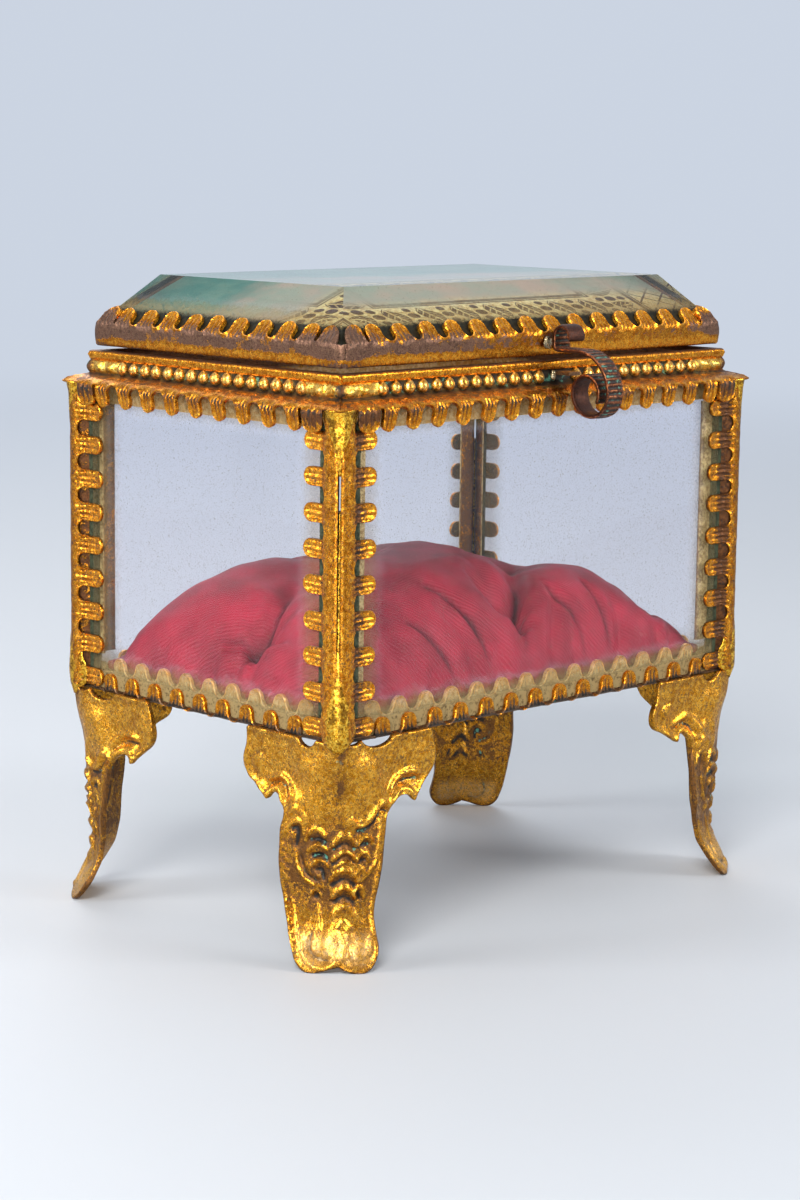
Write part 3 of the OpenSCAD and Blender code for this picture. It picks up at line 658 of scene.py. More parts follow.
# %% [markdown]
# ### Solder
# Soft solder washed with gold: smooth, a little lumpy, duller than the strips it joins. It could share
# the brass, but it has no patina, so it has its own finish with round lumps and dark spots.
# %% Solder
def soft_solder(name, tone="e09c1e", light="ffd252", shade="84571a", greened=0.2, rough=0.26):
    """Solder with lumps and, where greened is high, spots of verdigris."""
    made, add = material(name)
    where = place_mm(add)
    lumps = add("TexNoise", where, 1 / 0.9, 4, 0.6)
    fine = add("TexNoise", where, 1 / 0.30, 3, 0.6)
    spots = add("MapRange", add("TexNoise", where, 1 / 0.24, 2, 0.75), 0.59, 0.64, 0, 0.85)
    patches = add("TexNoise", where, 1 / 0.8, 4, 0.7)
    green = add("MapRange", patches, 0.74 - 0.18 * greened, 0.80 - 0.18 * greened, 0, 0.8)
    base = add("Mix", add("MapRange", fine, 0.40, 0.62), tone, light)
    base = add("Mix", add("MapRange", lumps, 0.40, 0.52, 0.85, 0), base, shade)
    base = add("Mix", spots, base, "2a1c10")
    base = add("Mix", green, base, "4f8f82")
    metallic = add("*", add("-", 1.0, green), 0.95)
    roughness = add("MapRange", fine, 0.3, 0.7, rough - 0.04, rough + 0.10)
    rise = add("+", add("*", lumps, 1.6), add("*", fine, 0.4))
    bump = add("Bump", Strength=0.55, Distance=0.12 * MM, Height=rise)
    add("OutputMaterial", add("BsdfPrincipled", base, metallic, roughness, Normal=bump))
    return made


solder = soft_solder("gold_washed_solder", greened=0.3)
tin = soft_solder("tin_solder", tone="b9ab8a", light="ddd3b4", shade="7d7156", greened=0.05)
print("solder", solder.name, "and", tin.name)

# %% [markdown]
# ### Cut glass
# Plain soda-lime glass, drawn in sheets, cut to size and ground at the edges. The big faces are polished,
# nearly colourless, and hold dust, most of it along the frame and at the foot. The ground faces look dark
# green, because light leaves them through the long way of the pane. The lid glass is painted near black
# along its border under the frame, as painted shade of its edge where the notches between the tabs show
# it. One glass shader would mirror too brightly for old glass, so a refraction and a dulled reflection are
# mixed by the Fresnel law. Shadows of clear glass are let through, so that the inside stays lit.
# %% Cut glass
PANE_TOP = 74.0
STRIP_REACH = 6.9
GLASS_IOR = 1.5


def plan_edge(add, x, y, half_x, half_y):
    """How far a place lies inside a rectangle round the middle of the casket."""
    from_x = add("-", half_x, add("ABSOLUTE", x))
    from_y = add("-", half_y, add("ABSOLUTE", add("+", y, -MID_Y)))
    return from_x, from_y


def pane_dust(add, veil, aside, z, cloud, spots, ragged):
    """Dust along a pane's strips and at its foot, and where its ground edge begins."""
    foot_gap, head_gap = add("+", z, -FOOT_H - 2.9), add("-", PANE_TOP, z)
    nearest = add("MINIMUM", add("MINIMUM", add("+", aside, -STRIP_REACH), foot_gap), head_gap)
    nearest = add("+", nearest, add("*", add("+", spots, -0.5), 4.0))
    veil = add("+", veil, add("MapRange", nearest, -0.5, 2.2, 0.20, 0))
    foot_dirt = add("+", foot_gap, add("*", add("+", cloud, -0.5), 7.0))
    veil = add("+", veil, add("MapRange", foot_dirt, 0.0, 3.2, 0.22, 0))
    bevel = add("+", add("+", aside, -4.35), add("*", ragged, 0.25))
    bevel = add("MapRange", bevel, -0.12, 0.12, 1, 0)
    caked = add("+", foot_gap, add("*", ragged, 0.5))
    return add("+", veil, add("MapRange", caked, -0.6, 0.2, 0.75, 0)), bevel


def lid_dust_and_shade(add, veil, inward, ragged):
    """Dust along the lid's frame, and where its near-black border of painted shade begins."""
    bevel = add("MapRange", add("+", inward, ragged), 2.3, 3.1, 1, 0)
    dirt = add("MapRange", add("+", inward, add("*", ragged, 2.4)), 2.8, 4.8, 0.5, 0)
    return add("+", veil, dirt), bevel


def cut_glass(name, across, tint="fcfcfe", film=0.018, scratches=0.5):
    """across is (1, 0, 0) for panes along X, (0, 1, 0) for panes along Y, and None for the lid glass."""
    made, add = material(name)
    where = place_mm(add)
    x, y, z = add("SeparateXYZ", where).node.outputs
    cloud = add("TexNoise", where, 1 / 4.0, 5, 0.7)
    spots = add("TexNoise", where, 1 / 0.5, 4, 0.7)
    speck = add("MapRange", add("TexNoise", where, 1 / 0.22, 2, 0.6), 0.67, 0.70, 0, 0.6)
    upright = add("VectorMath", where, (1, 1, 0.04), operation="MULTIPLY")
    hair = add("MapRange", add("TexNoise", upright, 1 / 0.22, 2, 0.5), 0.70, 0.73, 0, scratches * 0.30)
    hair = add("*", hair, add("MapRange", cloud, 0.5, 0.6))
    veil = add("+", add("MapRange", cloud, 0.40, 0.8, 0.2 * film, film), hair)
    ragged = add("*", add("+", spots, -0.5), 1.2)
    if across:
        from_x, from_y = plan_edge(add, x, y, HALF_W, HALF_D)
        veil, bevel = pane_dust(add, veil, from_x if across[0] else from_y, z, cloud, spots, ragged)
    else:
        from_x, from_y = plan_edge(add, x, y, LID_HALF_W, LID_HALF_D)
        veil, bevel = lid_dust_and_shade(add, veil, add("MINIMUM", from_x, from_y), ragged)
    veil = add("MINIMUM", add("MAXIMUM", veil, speck), 0.9)

    bent = add("BsdfRefraction", tint, 0.0, GLASS_IOR)
    mirror = add("BsdfGlossy", tint, 0.02)
    dulled = add("*", add("Fresnel", GLASS_IOR), 0.3 if across else 0.9)
    clear = add("MixShader", dulled, bent, mirror)
    dust = add("Mix", add("MapRange", spots, 0.50, 0.66), "98845c", "54432c")
    dust = add("Mix", add("MapRange", veil, 0.05, 0.14), "d8daec", dust)
    surface = add("MixShader", veil, clear, add("BsdfDiffuse", dust))
    # the lid glass's border is near black: painted shade of its edge, seen through the notches between the
    # tabs
    dark, light = ("262c20", "474f3c") if across else ("0d0d08", "26261a")
    tone = add("Mix", add("MapRange", spots, 0.38, 0.62), dark, light)
    ground = add("BsdfPrincipled", tone, Roughness=0.55, Specular_IOR_Level=0.15)
    surface = add("MixShader", bevel, surface, ground)
    if across:
        normal = add("NewGeometry", out="True Normal")
        facing = add("ABSOLUTE", add("VectorMath", normal, across, operation="DOT_PRODUCT"))
        surface = add("MixShader", add("MapRange", facing, 0.6, 0.8), surface, ground)
    through = add("BsdfTransparent", "eef4f0")
    add("OutputMaterial", add("MixShader", add("LightPath", out="Is Shadow Ray"), surface, through))
    return made


glass_x = cut_glass("pane_glass_front", (1, 0, 0))
glass_y = cut_glass("pane_glass_end", (0, 1, 0))
lid_glass = cut_glass("bevelled_lid_glass", None, tint="f8fcfa", film=0.03, scratches=0.3)
print("glass", glass_x.name, glass_y.name, lid_glass.name)

# %% [markdown]
# ### Print under the lid
# A colour print on card, printed from stone, with a free design: a washed sky that runs from teal to
# rose, a cream ground, and sepia pen work. A band of leaves and berries runs between ruled lines along
# the border, with a lattice outside it. An image would have a fixed grain, so everything is drawn by
# distance from curves, in millimetres.
# %% Print
LEAF_PITCH = 6.8
LEAF_AT = 13.6
LEAF_HALF_LENGTH, LEAF_HALF_WIDTH = 3.3, 1.9
VEIN_PITCH = 1.3
BERRIES = ((11.2, 0.7), (LEAF_AT, 1.0), (16.0, 0.7))
RULES = ((8.6, 0.14), (9.4, 0.36), (17.6, 0.14), (18.5, 0.42))
LATTICE_EDGE, LATTICE_PITCH = 8.2, 4.2


def pen_line(add, distance, half):
    """Ink where distance from a curve is below half a line's width."""
    return add("MapRange", add("ABSOLUTE", distance), half, half + 0.12, 1.0, 0.0)


def leaf_band(add, along, across):
    """Ink of the leaves, with bare midribs and veins, and of the berries between them. along and across are
    places along the border and inwards from it."""
    half = LEAF_PITCH / 2
    u, v = add("WRAP", along, half, -half), add("+", across, -LEAF_AT)
    lean = add("+", u, add("*", v, 0.25))
    aside = add("ABSOLUTE", lean)
    long_way = add("*", v, 1 / LEAF_HALF_LENGTH)
    width = add("+", 1.0, add("*", add("*", long_way, long_way), -1.0))
    leaf = add("+", add("*", width, LEAF_HALF_WIDTH), add("*", aside, -1.0))
    ink = add("MapRange", leaf, -0.05, 0.10)
    midrib = pen_line(add, lean, 0.16)
    veins = add("SINE", add("*", add("+", v, aside), 2 * math.pi / VEIN_PITCH))
    gaps = add("MAXIMUM", midrib, add("MapRange", veins, 0.55, 0.8, 0, 0.8))
    gaps = add("*", gaps, add("MapRange", leaf, 0.12, 0.3))
    ink = add("*", ink, add("-", 1.0, gaps))
    between = add("WRAP", add("+", along, half), half, -half)
    for middle, size in BERRIES:
        off = add("+", across, -middle)
        berry = add("+", add("*", between, between), add("*", off, off))
        ink = add("MAXIMUM", ink, add("MapRange", berry, size ** 2, size ** 2 + 0.25, 1, 0))
    return ink


def souvenir_print(name):
    """The printed card, with its border drawn along all four sides."""
    made, add = material(name)
    where = place_mm(add)
    x, y, _ = add("SeparateXYZ", where).node.outputs
    from_x, from_y = plan_edge(add, x, y, LID_HALF_W, LID_HALF_D)
    y = add("+", y, -MID_Y)
    side = add("LESS_THAN", from_x, from_y)
    across = add("MINIMUM", from_x, from_y)
    along = add("+", add("*", side, y), add("*", add("-", 1.0, side), x))

    # washes
    wash, small = add("TexNoise", where, 1 / 9.0, 4, 0.6), add("TexNoise", where, 1 / 0.9, 4, 0.65)
    drift = add("*", add("+", wash, -0.5), 14.0)
    sky = add("Mix", add("MapRange", wash, 0.35, 0.65), "5f9c9a", "8fb3ac")
    rose = add("Mix", add("MapRange", wash, 0.3, 0.7), "dcc2bb", "c3c4bd")
    ground = add("Mix", add("MapRange", small, 0.40, 0.62), "ffecbe", "e0bc80")
    height = add("+", add("+", y, add("*", x, 0.12)), drift)
    base = add("Mix", add("MapRange", height, 0.0, 9.0), rose, sky)
    far = add("MapRange", add("+", y, add("*", drift, 0.5)), -11.0, -5.0)
    base = add("Mix", far, ground, base)

    # pen work, which fades where the sky begins
    ink = leaf_band(add, along, across)
    for edge, half in RULES:
        ink = add("MAXIMUM", ink, pen_line(add, add("+", across, -edge), half))
    for slant in (1.0, -1.0):
        line = add("+", along, add("*", across, slant))
        line = pen_line(add, add("WRAP", line, LATTICE_PITCH / 2, -LATTICE_PITCH / 2), 0.20)
        lattice = add("*", line, add("MapRange", across, LATTICE_EDGE, LATTICE_EDGE + 0.2, 1, 0))
        ink = add("MAXIMUM", ink, add("*", lattice, add("MapRange", wash, 0.36, 0.46)))
    ink = add("*", ink, add("MapRange", small, 0.28, 0.45, 0.65, 1.0))
    ink = add("*", ink, add("-", 1.0, add("*", far, 0.94)))

    # a brown stain towards the front right
    aside = add("MapRange", add("+", x, drift), 6.0, 22.0, 0, 0.8)
    blush = add("*", aside, add("MapRange", y, -22.0, -6.0, 1, 0.1))
    blush = add("*", blush, add("MapRange", small, 0.35, 0.6, 1.0, 0.45))
    base = add("Mix", blush, base, "a0683c")
    base = add("Mix", ink, base, "562a08")
    add("OutputMaterial", add("BsdfPrincipled", base, Roughness=0.55))
    return made


print_ink = souvenir_print("souvenir_print")
print("print border between", RULES[0][0], "and", RULES[-1][0], "mm from the lid's edge")

# %% [markdown]
# ### Card and board
# The cards are pressed paper board. They show only as thin edges, so a dry tone with a little speckle is
# enough.
# %% Card and board
def dry_board(name, tone, rough=0.8, speckle=0.2, grain=0.5):
    """A dry surface with a little speckle, grain millimetres across."""
    made, add = material(name)
    light = linear(tone)
    dark = tuple(v * (1 - speckle) for v in light[:3]) + (1,)
    fleck = add("TexNoise", place_mm(add), 1 / grain, 4, 0.55)
    base = add("Mix", add("MapRange", fleck, 0.3, 0.7), light, dark)
    add("OutputMaterial", add("BsdfPrincipled", base, Roughness=rough))
    return made


card = dry_board("grey_card", "8d8271")
board = dry_board("brown_board", "6b5442")
print("board", card.name, board.name)

# %% [markdown]
# ### Silk
# Silk rep: a plain weave with a thick weft, so fine ribs run one way across the cushion. They could be
# modelled, but at half a millimetre a wave in the colour and the bump is enough. The attribute fold is 1
# in the folds and at the tufts, where painted shade darkens the colour.
# %% Silk
RIB_PITCH = 0.55


def ribbed_silk(name, tone="6a0b1c", light="961b31", shade="1a0308"):
    """Silk with fine ribs along the attribute weft, darkened as painted shade where the attribute fold is
    high.
    """
    made, add = material(name)
    where = place_mm(add)
    weft, fold = (add("Attribute", attribute_name=key, out="Fac") for key in ("weft", "fold"))
    drawn = add("+", weft, add("*", add("TexNoise", where, 1 / 2.5, 3, 0.55), 0.5))
    ribs = add("SINE", add("*", drawn, 2 * math.pi / RIB_PITCH))
    clouds = add("MapRange", add("TexNoise", where, 1 / 6.0, 3, 0.5), 0.2, 0.85)
    worn = add("MapRange", add("TexNoise", where, 1 / 0.35, 3, 0.7), 0.55, 0.75, 0, 0.22)
    base = add("Mix", clouds, tone, light)
    base = add("Mix", add("MapRange", ribs, -0.6, 1, 0, 0.14), base, "b85a68")
    base = add("Mix", worn, base, "a85a64")
    # painted shade: the colour darkens towards shade in the folds and at the tufts
    base = add("Mix", add("MapRange", fold, 0.0, 1.0, 0, 0.92), base, shade)
    bump = add("Bump", Strength=0.3, Distance=0.10 * MM, Height=add("MapRange", ribs, -1, 1))
    shader = add("BsdfPrincipled", base, Roughness=0.50, Sheen_Weight=0.04, Sheen_Roughness=0.4,
                 Sheen_Tint="e08a94", Specular_IOR_Level=0.08, Normal=bump)
    add("OutputMaterial", shader)
    return made


silk = ribbed_silk("crimson_silk")
print("silk ribs every", RIB_PITCH, "mm")

# %% [markdown]
# ### The brass of each piece
# The lid frame and the base rails are more worn than the corner strips, the feet are grained and warm,
# and the latch was coppered and has verdigris between its ribs. One brass for all would hide that.
# %% Brass of each piece
brass_rim = gilded_brass("gilded_rim", left=0.54, dirty=0.5, greened=0.12)
brass_lid = gilded_brass("worn_lid_frame", patina="5b3e36", brown="8a6a54", dirt="241710", left=0.48,
                         dirty=0.34, greened=0.04)
brass_foot = gilded_brass("gilded_foot", gilt="e09620", pale="ffc450", low="7a4410", patina="6a4520",
                          brown="8d6030", left=0.60, dirty=0.55, greened=0.52, relief=0.8, streaky=0.40,
                          pits=1.0)
brass_base = gilded_brass("worn_base_rail", patina="5a4030", brown="8a6a4c", left=0.46, greened=0.1)
bead_brass = gilded_brass("gilded_bead", gilt="e09a2c", pale="ffd984", left=0.75, dirty=0.25, greened=0.05,
                          rough=0.26, relief=0.4)
filled_brass = gilded_brass("solder_in_groove", gilt="d69a2a", pale="ffdc78", left=0.70, dirty=0.45,
                            greened=0.45, rough=0.28)
copper = gilded_brass("coppered_latch", gilt="8f5034", pale="d29468", low="6d3a22", patina="38201a",
                      brown="5e3a2c", dirt="1c120d", dirty=0.45, greened=0.62, rough=0.28)
print("materials", len(bpy.data.materials))

# %% [markdown]
# ## Solids that stay as they are
# Panes, the cut lid glass, the print, cards and the hinge are plain sheets and tubes, exact as packed.
# Making them again would only risk a gap, so they just get a material, and the hinge a small bevel so
# that its edges catch light.
# %% Dress the solids
PLAIN = {
    "pane_front": glass_x, "pane_back": glass_x, "pane_left": glass_y, "pane_right": glass_y,
    "lid_glass": lid_glass, "lid_print": print_ink, "lid_card": card, "cushion_card": card,
    "base_plate": board, "keeper": brass_base,
    "hinge_leaf_body": brass_rim, "hinge_leaf_lid": brass_rim, "hinge_pin": brass_rim,
}
for node, finish in PLAIN.items():
    thing = NODES[node]
    thing.data.materials.clear()
    thing.data.materials.append(finish)
    if node.startswith("hinge"):
        bevel = thing.modifiers.new("soft_edges", "BEVEL")
        bevel.width, bevel.segments, bevel.limit_method = 0.1 * MM, 2, "ANGLE"
print("plain nodes", len(PLAIN))

# %% [markdown]
# ## Corner strips
# Two stamped strips meet at each corner with a slit between them, which is filled with solder. Each has
# an inner leaf behind the pane, a web along the diagonal, a half-round ridge and a row of ribbed tabs
# over the glass. One section bends all eight. The wear is set by how far round the section a point
# is: polished on the ridge, black in the fold beside it, and dull and dusty on the inner leaf. The black
# in the fold, on the web and along the slit is partly dirt and partly painted shade of those recesses.
# %% Corner strips
STRIP_LOW, STRIP_HIGH = FOOT_H + SHEET, FLANGE_Z
STRIP_LEN = STRIP_HIGH - STRIP_LOW
TAB_ROOT, TAB_TIP = 2.0, 6.9
LEAF_FACE, LEAF_SIDE = 6.6, 5.0  # how far the inner leaf reaches
CUT_LOW, CUT_HIGH = 4.7, 41.4  # the leaf is cut away outside these
STITCH = 1.15  # pitch of the stamping roller's dents


def strip_section(leaf):
    """A strip in plan, from its inner leaf to the tips of its tabs, as (along the face, inwards)."""
    line = rounded([(leaf, 3.6), (3.81, 3.6), (0.21, 0.0)], 0.35)
    line += arc((1.40, 0.12), 1.40, 200, 300, squeeze=0.66)
    line += rounded([(2.10, -0.68), (2.62, -0.48), (3.10, 0.0), (TAB_TIP, 0.0)], [0.5, 0.6])[1:]
    return Section(line)


def corner_strip(name, corner, on_face, seed):
    """One strip, over the front or back where on_face is True and over an end where it is False."""
    leaf = LEAF_FACE if on_face else LEAF_SIDE
    section = strip_section(leaf)
    root = section.length - (TAB_TIP - TAB_ROOT)
    fold = section.length - 4.05
    comb = Comb(STRIP_LEN, root, section.length, even_tabs(STRIP_LEN - 2.8, 1.5, shake=0.06, seed=seed),
                cut=(CUT_LOW, CUT_HIGH, leaf - 3.6))
    relief, values = tab_relief(comb, root_gold=0.0 if on_face else 0.35, seed=seed)

    def place(flat, lift):
        u, v = section.at(flat[:, 1], lift)
        x, y = (u, v) if on_face else (v, u)
        return at_corner(corner, x, y, STRIP_LOW + flat[:, 0])

    def ridge_at(y):
        return smoothstep(fold - 3.9, fold - 3.0, y) * smoothstep(fold - 0.2, fold - 0.7, y)

    def stitches(x, y):
        """Small dents at an even pitch along the crown of the ridge, left by the stamping roller."""
        return np.cos(2 * math.pi * x / STITCH + 0.6 * np.sin(x)) * bell(y, fold - 1.5, 0.7)

    def stamped(flat):
        x, y = flat.T
        return relief(flat) + ridge_at(y) * (0.05 * wobble(x, y, 2.6, seed + 50) + 0.035 * stitches(x, y))

    def worn(flat, lift):
        found = values(flat, lift)
        x, y = flat.T
        ridge = ridge_at(y)
        found["leaf"] = smoothstep(fold - 7.4, fold - 8.0, y)
        crown = smoothstep(fold - 3.9, fold - 3.4, y) * smoothstep(fold + 0.1, fold - 1.0, y)
        web = smoothstep(fold - 3.2, fold - 3.9, y) * smoothstep(fold - 8.0, fold - 7.0, y)
        slit = bell(y, fold - 3.75, 0.45) * smoothstep(7, 12, x) * smoothstep(38, 24, x)
        found["wear"] += 0.42 * crown
        found["wear"] += 0.08 * ridge * stitches(x, y) - (0.0 if corner == "front_left" else 0.10)
        # Partly dirt and partly painted shade: darker in the fold beside the ridge, on the web and along
        # the slit, and on the faces with less gilding beside the ridge.
        found["grime"] += 0.14 * bell(y, fold + 0.4, 0.35) - 0.30 * ridge + 0.5 * web + 0.9 * slit
        if on_face:
            beside = smoothstep(fold + 0.2, fold + 0.8, y) * smoothstep(fold + 2.6, fold + 1.8, y)
            found["wear"] -= 0.18 * beside
        return found

    points, faces, data = sheet(comb.outline(), comb.inner(section.levels()), place, stamped, worn)
    on_leaf = data["leaf"]
    outer_side = np.arange(len(points)) < len(points) // 2
    inside = np.where(outer_side, on_leaf, 1 - on_leaf) > 0.5
    at_back = corner.startswith("back")
    data["wear"] = np.where(inside, 0.36 if at_back else 0.15, data["wear"])
    data["grime"] = np.where(inside, 0.10 if at_back else 0.45, data["grime"])
    data["pale"] = 0.95 * on_leaf * ~outer_side
    return piece(name, points, faces, "casket", brass, [name], data)


for number, corner in enumerate(CORNERS):
    for on_face in (True, False):
        name = "strip_%s_%s" % (corner, "face" if on_face else "side")
        corner_strip(name, corner, on_face, 10 * number + on_face)

# %% [markdown]
# ## Rim
# The rim was rolled from one strip: a bright band on top, a groove for a row of beads, a sloping flange,
# and a comb of ribbed tabs folded down over the flange's edge. One strip wrapped round would bend its
# tabs at the corners, so four sides meet at mitres, where the flange is drawn in to a soft corner.
# %% Rim
GROOVE_D, GROOVE_Z = 2.1, FLANGE_Z + 2.2
RIM_TAB = 3.35
RIM_LINE = [(3.6, FLANGE_Z - 3.0), (3.6, RIM_TOP), (1.7, RIM_TOP), (1.72, RIM_TOP - 1.15),
            (GROOVE_D, RIM_TOP - 1.4), (GROOVE_D, FLANGE_Z + 1.2), (-FLANGE_OUT - 0.05, FLANGE_Z + 0.35),
            (-FLANGE_OUT + 0.74, FLANGE_Z - 3.3)]
RIM_FOLDS = [0.25, 0.42, 0.2, 0.2, 0.25, 1.5]


def on_side(side, x, d, z):
    """Model points from a place along a side, the depth inwards from the frame's face, and the height."""
    if side in ("front", "back"):
        sign = -1 if side == "front" else 1
        return np.column_stack([-sign * x, MID_Y + sign * (HALF_D - d), z])
    sign = 1 if side == "right" else -1
    return np.column_stack([sign * (HALF_W - d), MID_Y + sign * x, z])


def mitred(x, d, half, over=7.0):
    """Moves points near the ends of a side along it, so that the sides meet at a mitre."""
    return x - np.sign(x) * d * smoothstep(half - over, half, np.abs(x))


def soft_corner(points, out):
    """Points past both faces at a corner drawn in to the radius out, as a bent strip's corner is."""
    dx = np.maximum(np.abs(points[:, 0]) - HALF_W, 0)
    dy = np.maximum(np.abs(points[:, 1] - MID_Y) - HALF_D, 0)
    share = np.minimum(1, out / np.maximum(np.hypot(dx, dy), 1e-9)) - 1
    points[:, 0] += np.sign(points[:, 0]) * dx * share
    points[:, 1] += np.sign(points[:, 1] - MID_Y) * dy * share
    return points


def rim_side(side, seed):
    """One side of the rim, from mitre to mitre."""
    length = side_length(side)
    section = Section(rounded(RIM_LINE, RIM_FOLDS))
    comb = Comb(length, section.length - RIM_TAB, section.length,
                even_tabs(length, 8.25, 4.75, 0.08, seed, width=2.4))
    relief, values = tab_relief(comb, height=0.17, rim=0.14, seed=seed, tilt=0.16)
    half = len(section.b) // 2
    band = np.interp(RIM_TOP - 0.1, section.b[:half], section.s[:half])

    def length_at(d, z):
        """How far along the section the place nearest to (d, z) is."""
        return section.s[np.argmin(np.hypot(section.a - d, section.b - z))]

    fold, groove = length_at(-FLANGE_OUT, FLANGE_Z), length_at(GROOVE_D, GROOVE_Z)
    foot = length_at(1.9, FLANGE_Z + 1.15)

    def place(flat, lift):
        d, z = section.at(flat[:, 1], lift)
        x = mitred(flat[:, 0] - length / 2, d, length / 2)
        return soft_corner(on_side(side, x, d, z), FLANGE_OUT * 0.85 + 0.1)

    def from_middle(flat, low, high):
        return smoothstep(length / 2 - low, length / 2 - high, np.abs(flat[:, 0] - length / 2))

    def stamped(flat):
        x, y = flat.T
        flange = smoothstep(foot, foot + 0.6, y) * smoothstep(fold, fold - 0.5, y)
        return relief(flat) + 0.07 * flange * wobble(x, y, 3.2, seed + 8)

    def worn(flat, lift):
        found = values(flat, lift)
        x, y = flat.T
        ends = from_middle(flat, 8.9, 7.0)
        in_groove = smoothstep(groove - 1.2, groove - 0.9, y) * smoothstep(groove + 1.2, groove + 0.8, y)
        above = smoothstep(groove - 0.8, groove - 1.2, y)
        # The inner wall under the top band shows only in the gap under the lid. It is darkened there,
        # partly dirt and partly painted shade of that gap.
        lip = smoothstep(2.6, 3.2, y) * smoothstep(band - 0.15, band - 0.55, y)
        found["wear"] += 0.50 * above + 0.42 * in_groove * ends - 0.45 * lip
        found["wear"] += 0.20 * bell(y, fold - 0.1, 0.8) + 0.06 * wobble(x, y, 6.0, seed + 9)
        found["wear"] += 0.26 * smoothstep(foot, foot + 0.8, y) * smoothstep(fold, fold - 0.2, y)
        found["wear"] -= 0.22 * from_middle(flat, 7.4, 6.2) * smoothstep(fold - 0.2, fold + 0.5, y)
        found["grime"] += 0.85 * in_groove * (1 - ends) + 0.60 * bell(y, foot, 0.45)
        found["grime"] += 0.35 * bell(y, fold + 0.75, 0.30) - 0.25 * above + 0.25 * lip
        found["pale"] = 0.9 * smoothstep(3.4, 2.6, y)
        return found

    points, faces, data = sheet(comb.outline(), comb.inner(section.levels()), place, stamped, worn)
    return piece("rim_" + side, points, faces, "casket", brass_rim, ["rim_" + side], data)


for number, side in enumerate(SIDES):
    rim_side(side, 100 + number)

# %% [markdown]
# ## Beads
# The beads are eggs, taller than wide, each soldered into the groove by hand, so each is a hair off the
# line and differs a little in size and gilding. An array would make them all alike, so they are placed
# one by one. There are none where the keeper and the hinge are.
# %% Beads
BEAD_RADII = np.array([0.95, 0.92, 1.04])
FIRST_BEAD = 9.6
BEAD_COUNT = {"front": 26, "back": 26, "right": 16, "left": 16}
BEAD_GAPS = {"front": (3, 3), "back": (0, 11.7)}  # middle and half width of the gap for keeper and hinge


def egg(rows=9, columns=14, tip=0.18):
    """An egg-shaped ball of radius 1 with its long way upright, as points and faces."""
    points = [(0, 0, -1)]
    for i in range(1, rows):
        angle = math.pi * i / rows
        for j in range(columns):
            turn = 2 * math.pi * j / columns
            z = -math.cos(angle)
            wide = math.sin(angle) * (1 - tip * z)
            points.append((wide * math.cos(turn), wide * math.sin(turn), z))
    points.append((0, 0, 1))
    top = len(points) - 1
    faces = [(0, 1 + (j + 1) % columns, 1 + j) for j in range(columns)]
    faces += [tuple(1 + i for i in face) for face in grid_faces(rows - 1, columns, wrap=True)]
    faces += [(top, top - columns + j, top - columns + (j + 1) % columns) for j in range(columns)]
    return np.array(points), faces


def bead_row(side, seed):
    """The beads of one side as one piece."""
    half = side_length(side) / 2 - FIRST_BEAD
    gap_at, gap_half = BEAD_GAPS.get(side, (0, 0))
    rng = np.random.default_rng(seed)
    parts = []
    for x in np.linspace(-half, half, BEAD_COUNT[side]):
        if abs(x - gap_at) < gap_half:
            continue
        points, faces = egg()
        points = points * BEAD_RADII * rng.uniform(0.94, 1.06)
        x = points[:, 0] + x + rng.uniform(-0.07, 0.07)
        found = on_side(side, x, GROOVE_D + 0.02 - points[:, 1], points[:, 2] + GROOVE_Z + 0.02)
        parts.append((found, faces, {"wear": np.full(len(found), rng.uniform(0.55, 0.95)),
                                     "grime": smoothstep(0.45, -0.5, points[:, 1]) * 0.9,
                                     "pale": np.zeros(len(found))}))
    points, faces, data = joined(*parts)
    return piece("beads_" + side, points, faces, "casket", bead_brass, (), data, smooth=180)


for number, side in enumerate(SIDES):
    bead_row(side, 200 + number)

# %% [markdown]
# ## Base rails
# Each rail is folded from one strip: low ribbed tabs outside, a floor that carries the pane and reaches
# inside as a ledge, and a taller row of tabs behind the pane. The outside and the inside are made as two
# bent sheets, because one section can't fork, and joined into one piece.
# %% Base rails
RAIL_TAB, INNER_TAB = 2.9, 4.4
INNER_DEPTH = 3.1
INNER_LEVELS = [0.6, 1.2, 1.8, 2.3, 2.8, 3.3, 3.8]


def rail_outside(side, seed):
    """The floor of a rail and its tabs outside."""
    length = side_length(side)
    section = Section(rounded([(5.6, FOOT_H), (0, FOOT_H), (0, FOOT_H + RAIL_TAB)], 0.3), side=-1)
    fold = section.length - RAIL_TAB
    comb = Comb(length, fold + 0.15, section.length, even_tabs(length, 8.6, seed=seed),
                shoulder=(7.25, fold + 0.45))
    relief, values = tab_relief(comb, height=0.16, rim=0.08, seed=seed, tilt=0.10, root_gold=0.2)

    def place(flat, lift):
        d, z = section.at(flat[:, 1], lift)
        return on_side(side, mitred(flat[:, 0] - length / 2, d, length / 2), d, z)

    def worn(flat, lift):
        found = values(flat, lift)
        found["wear"] += 0.22 * bell(flat[:, 1], fold, 0.30) - 0.10
        found["grime"] += 0.55 * bell(flat[:, 1], fold + 0.35, 0.25)
        return found

    return sheet(comb.outline(), comb.inner(section.levels()), place, relief, worn)


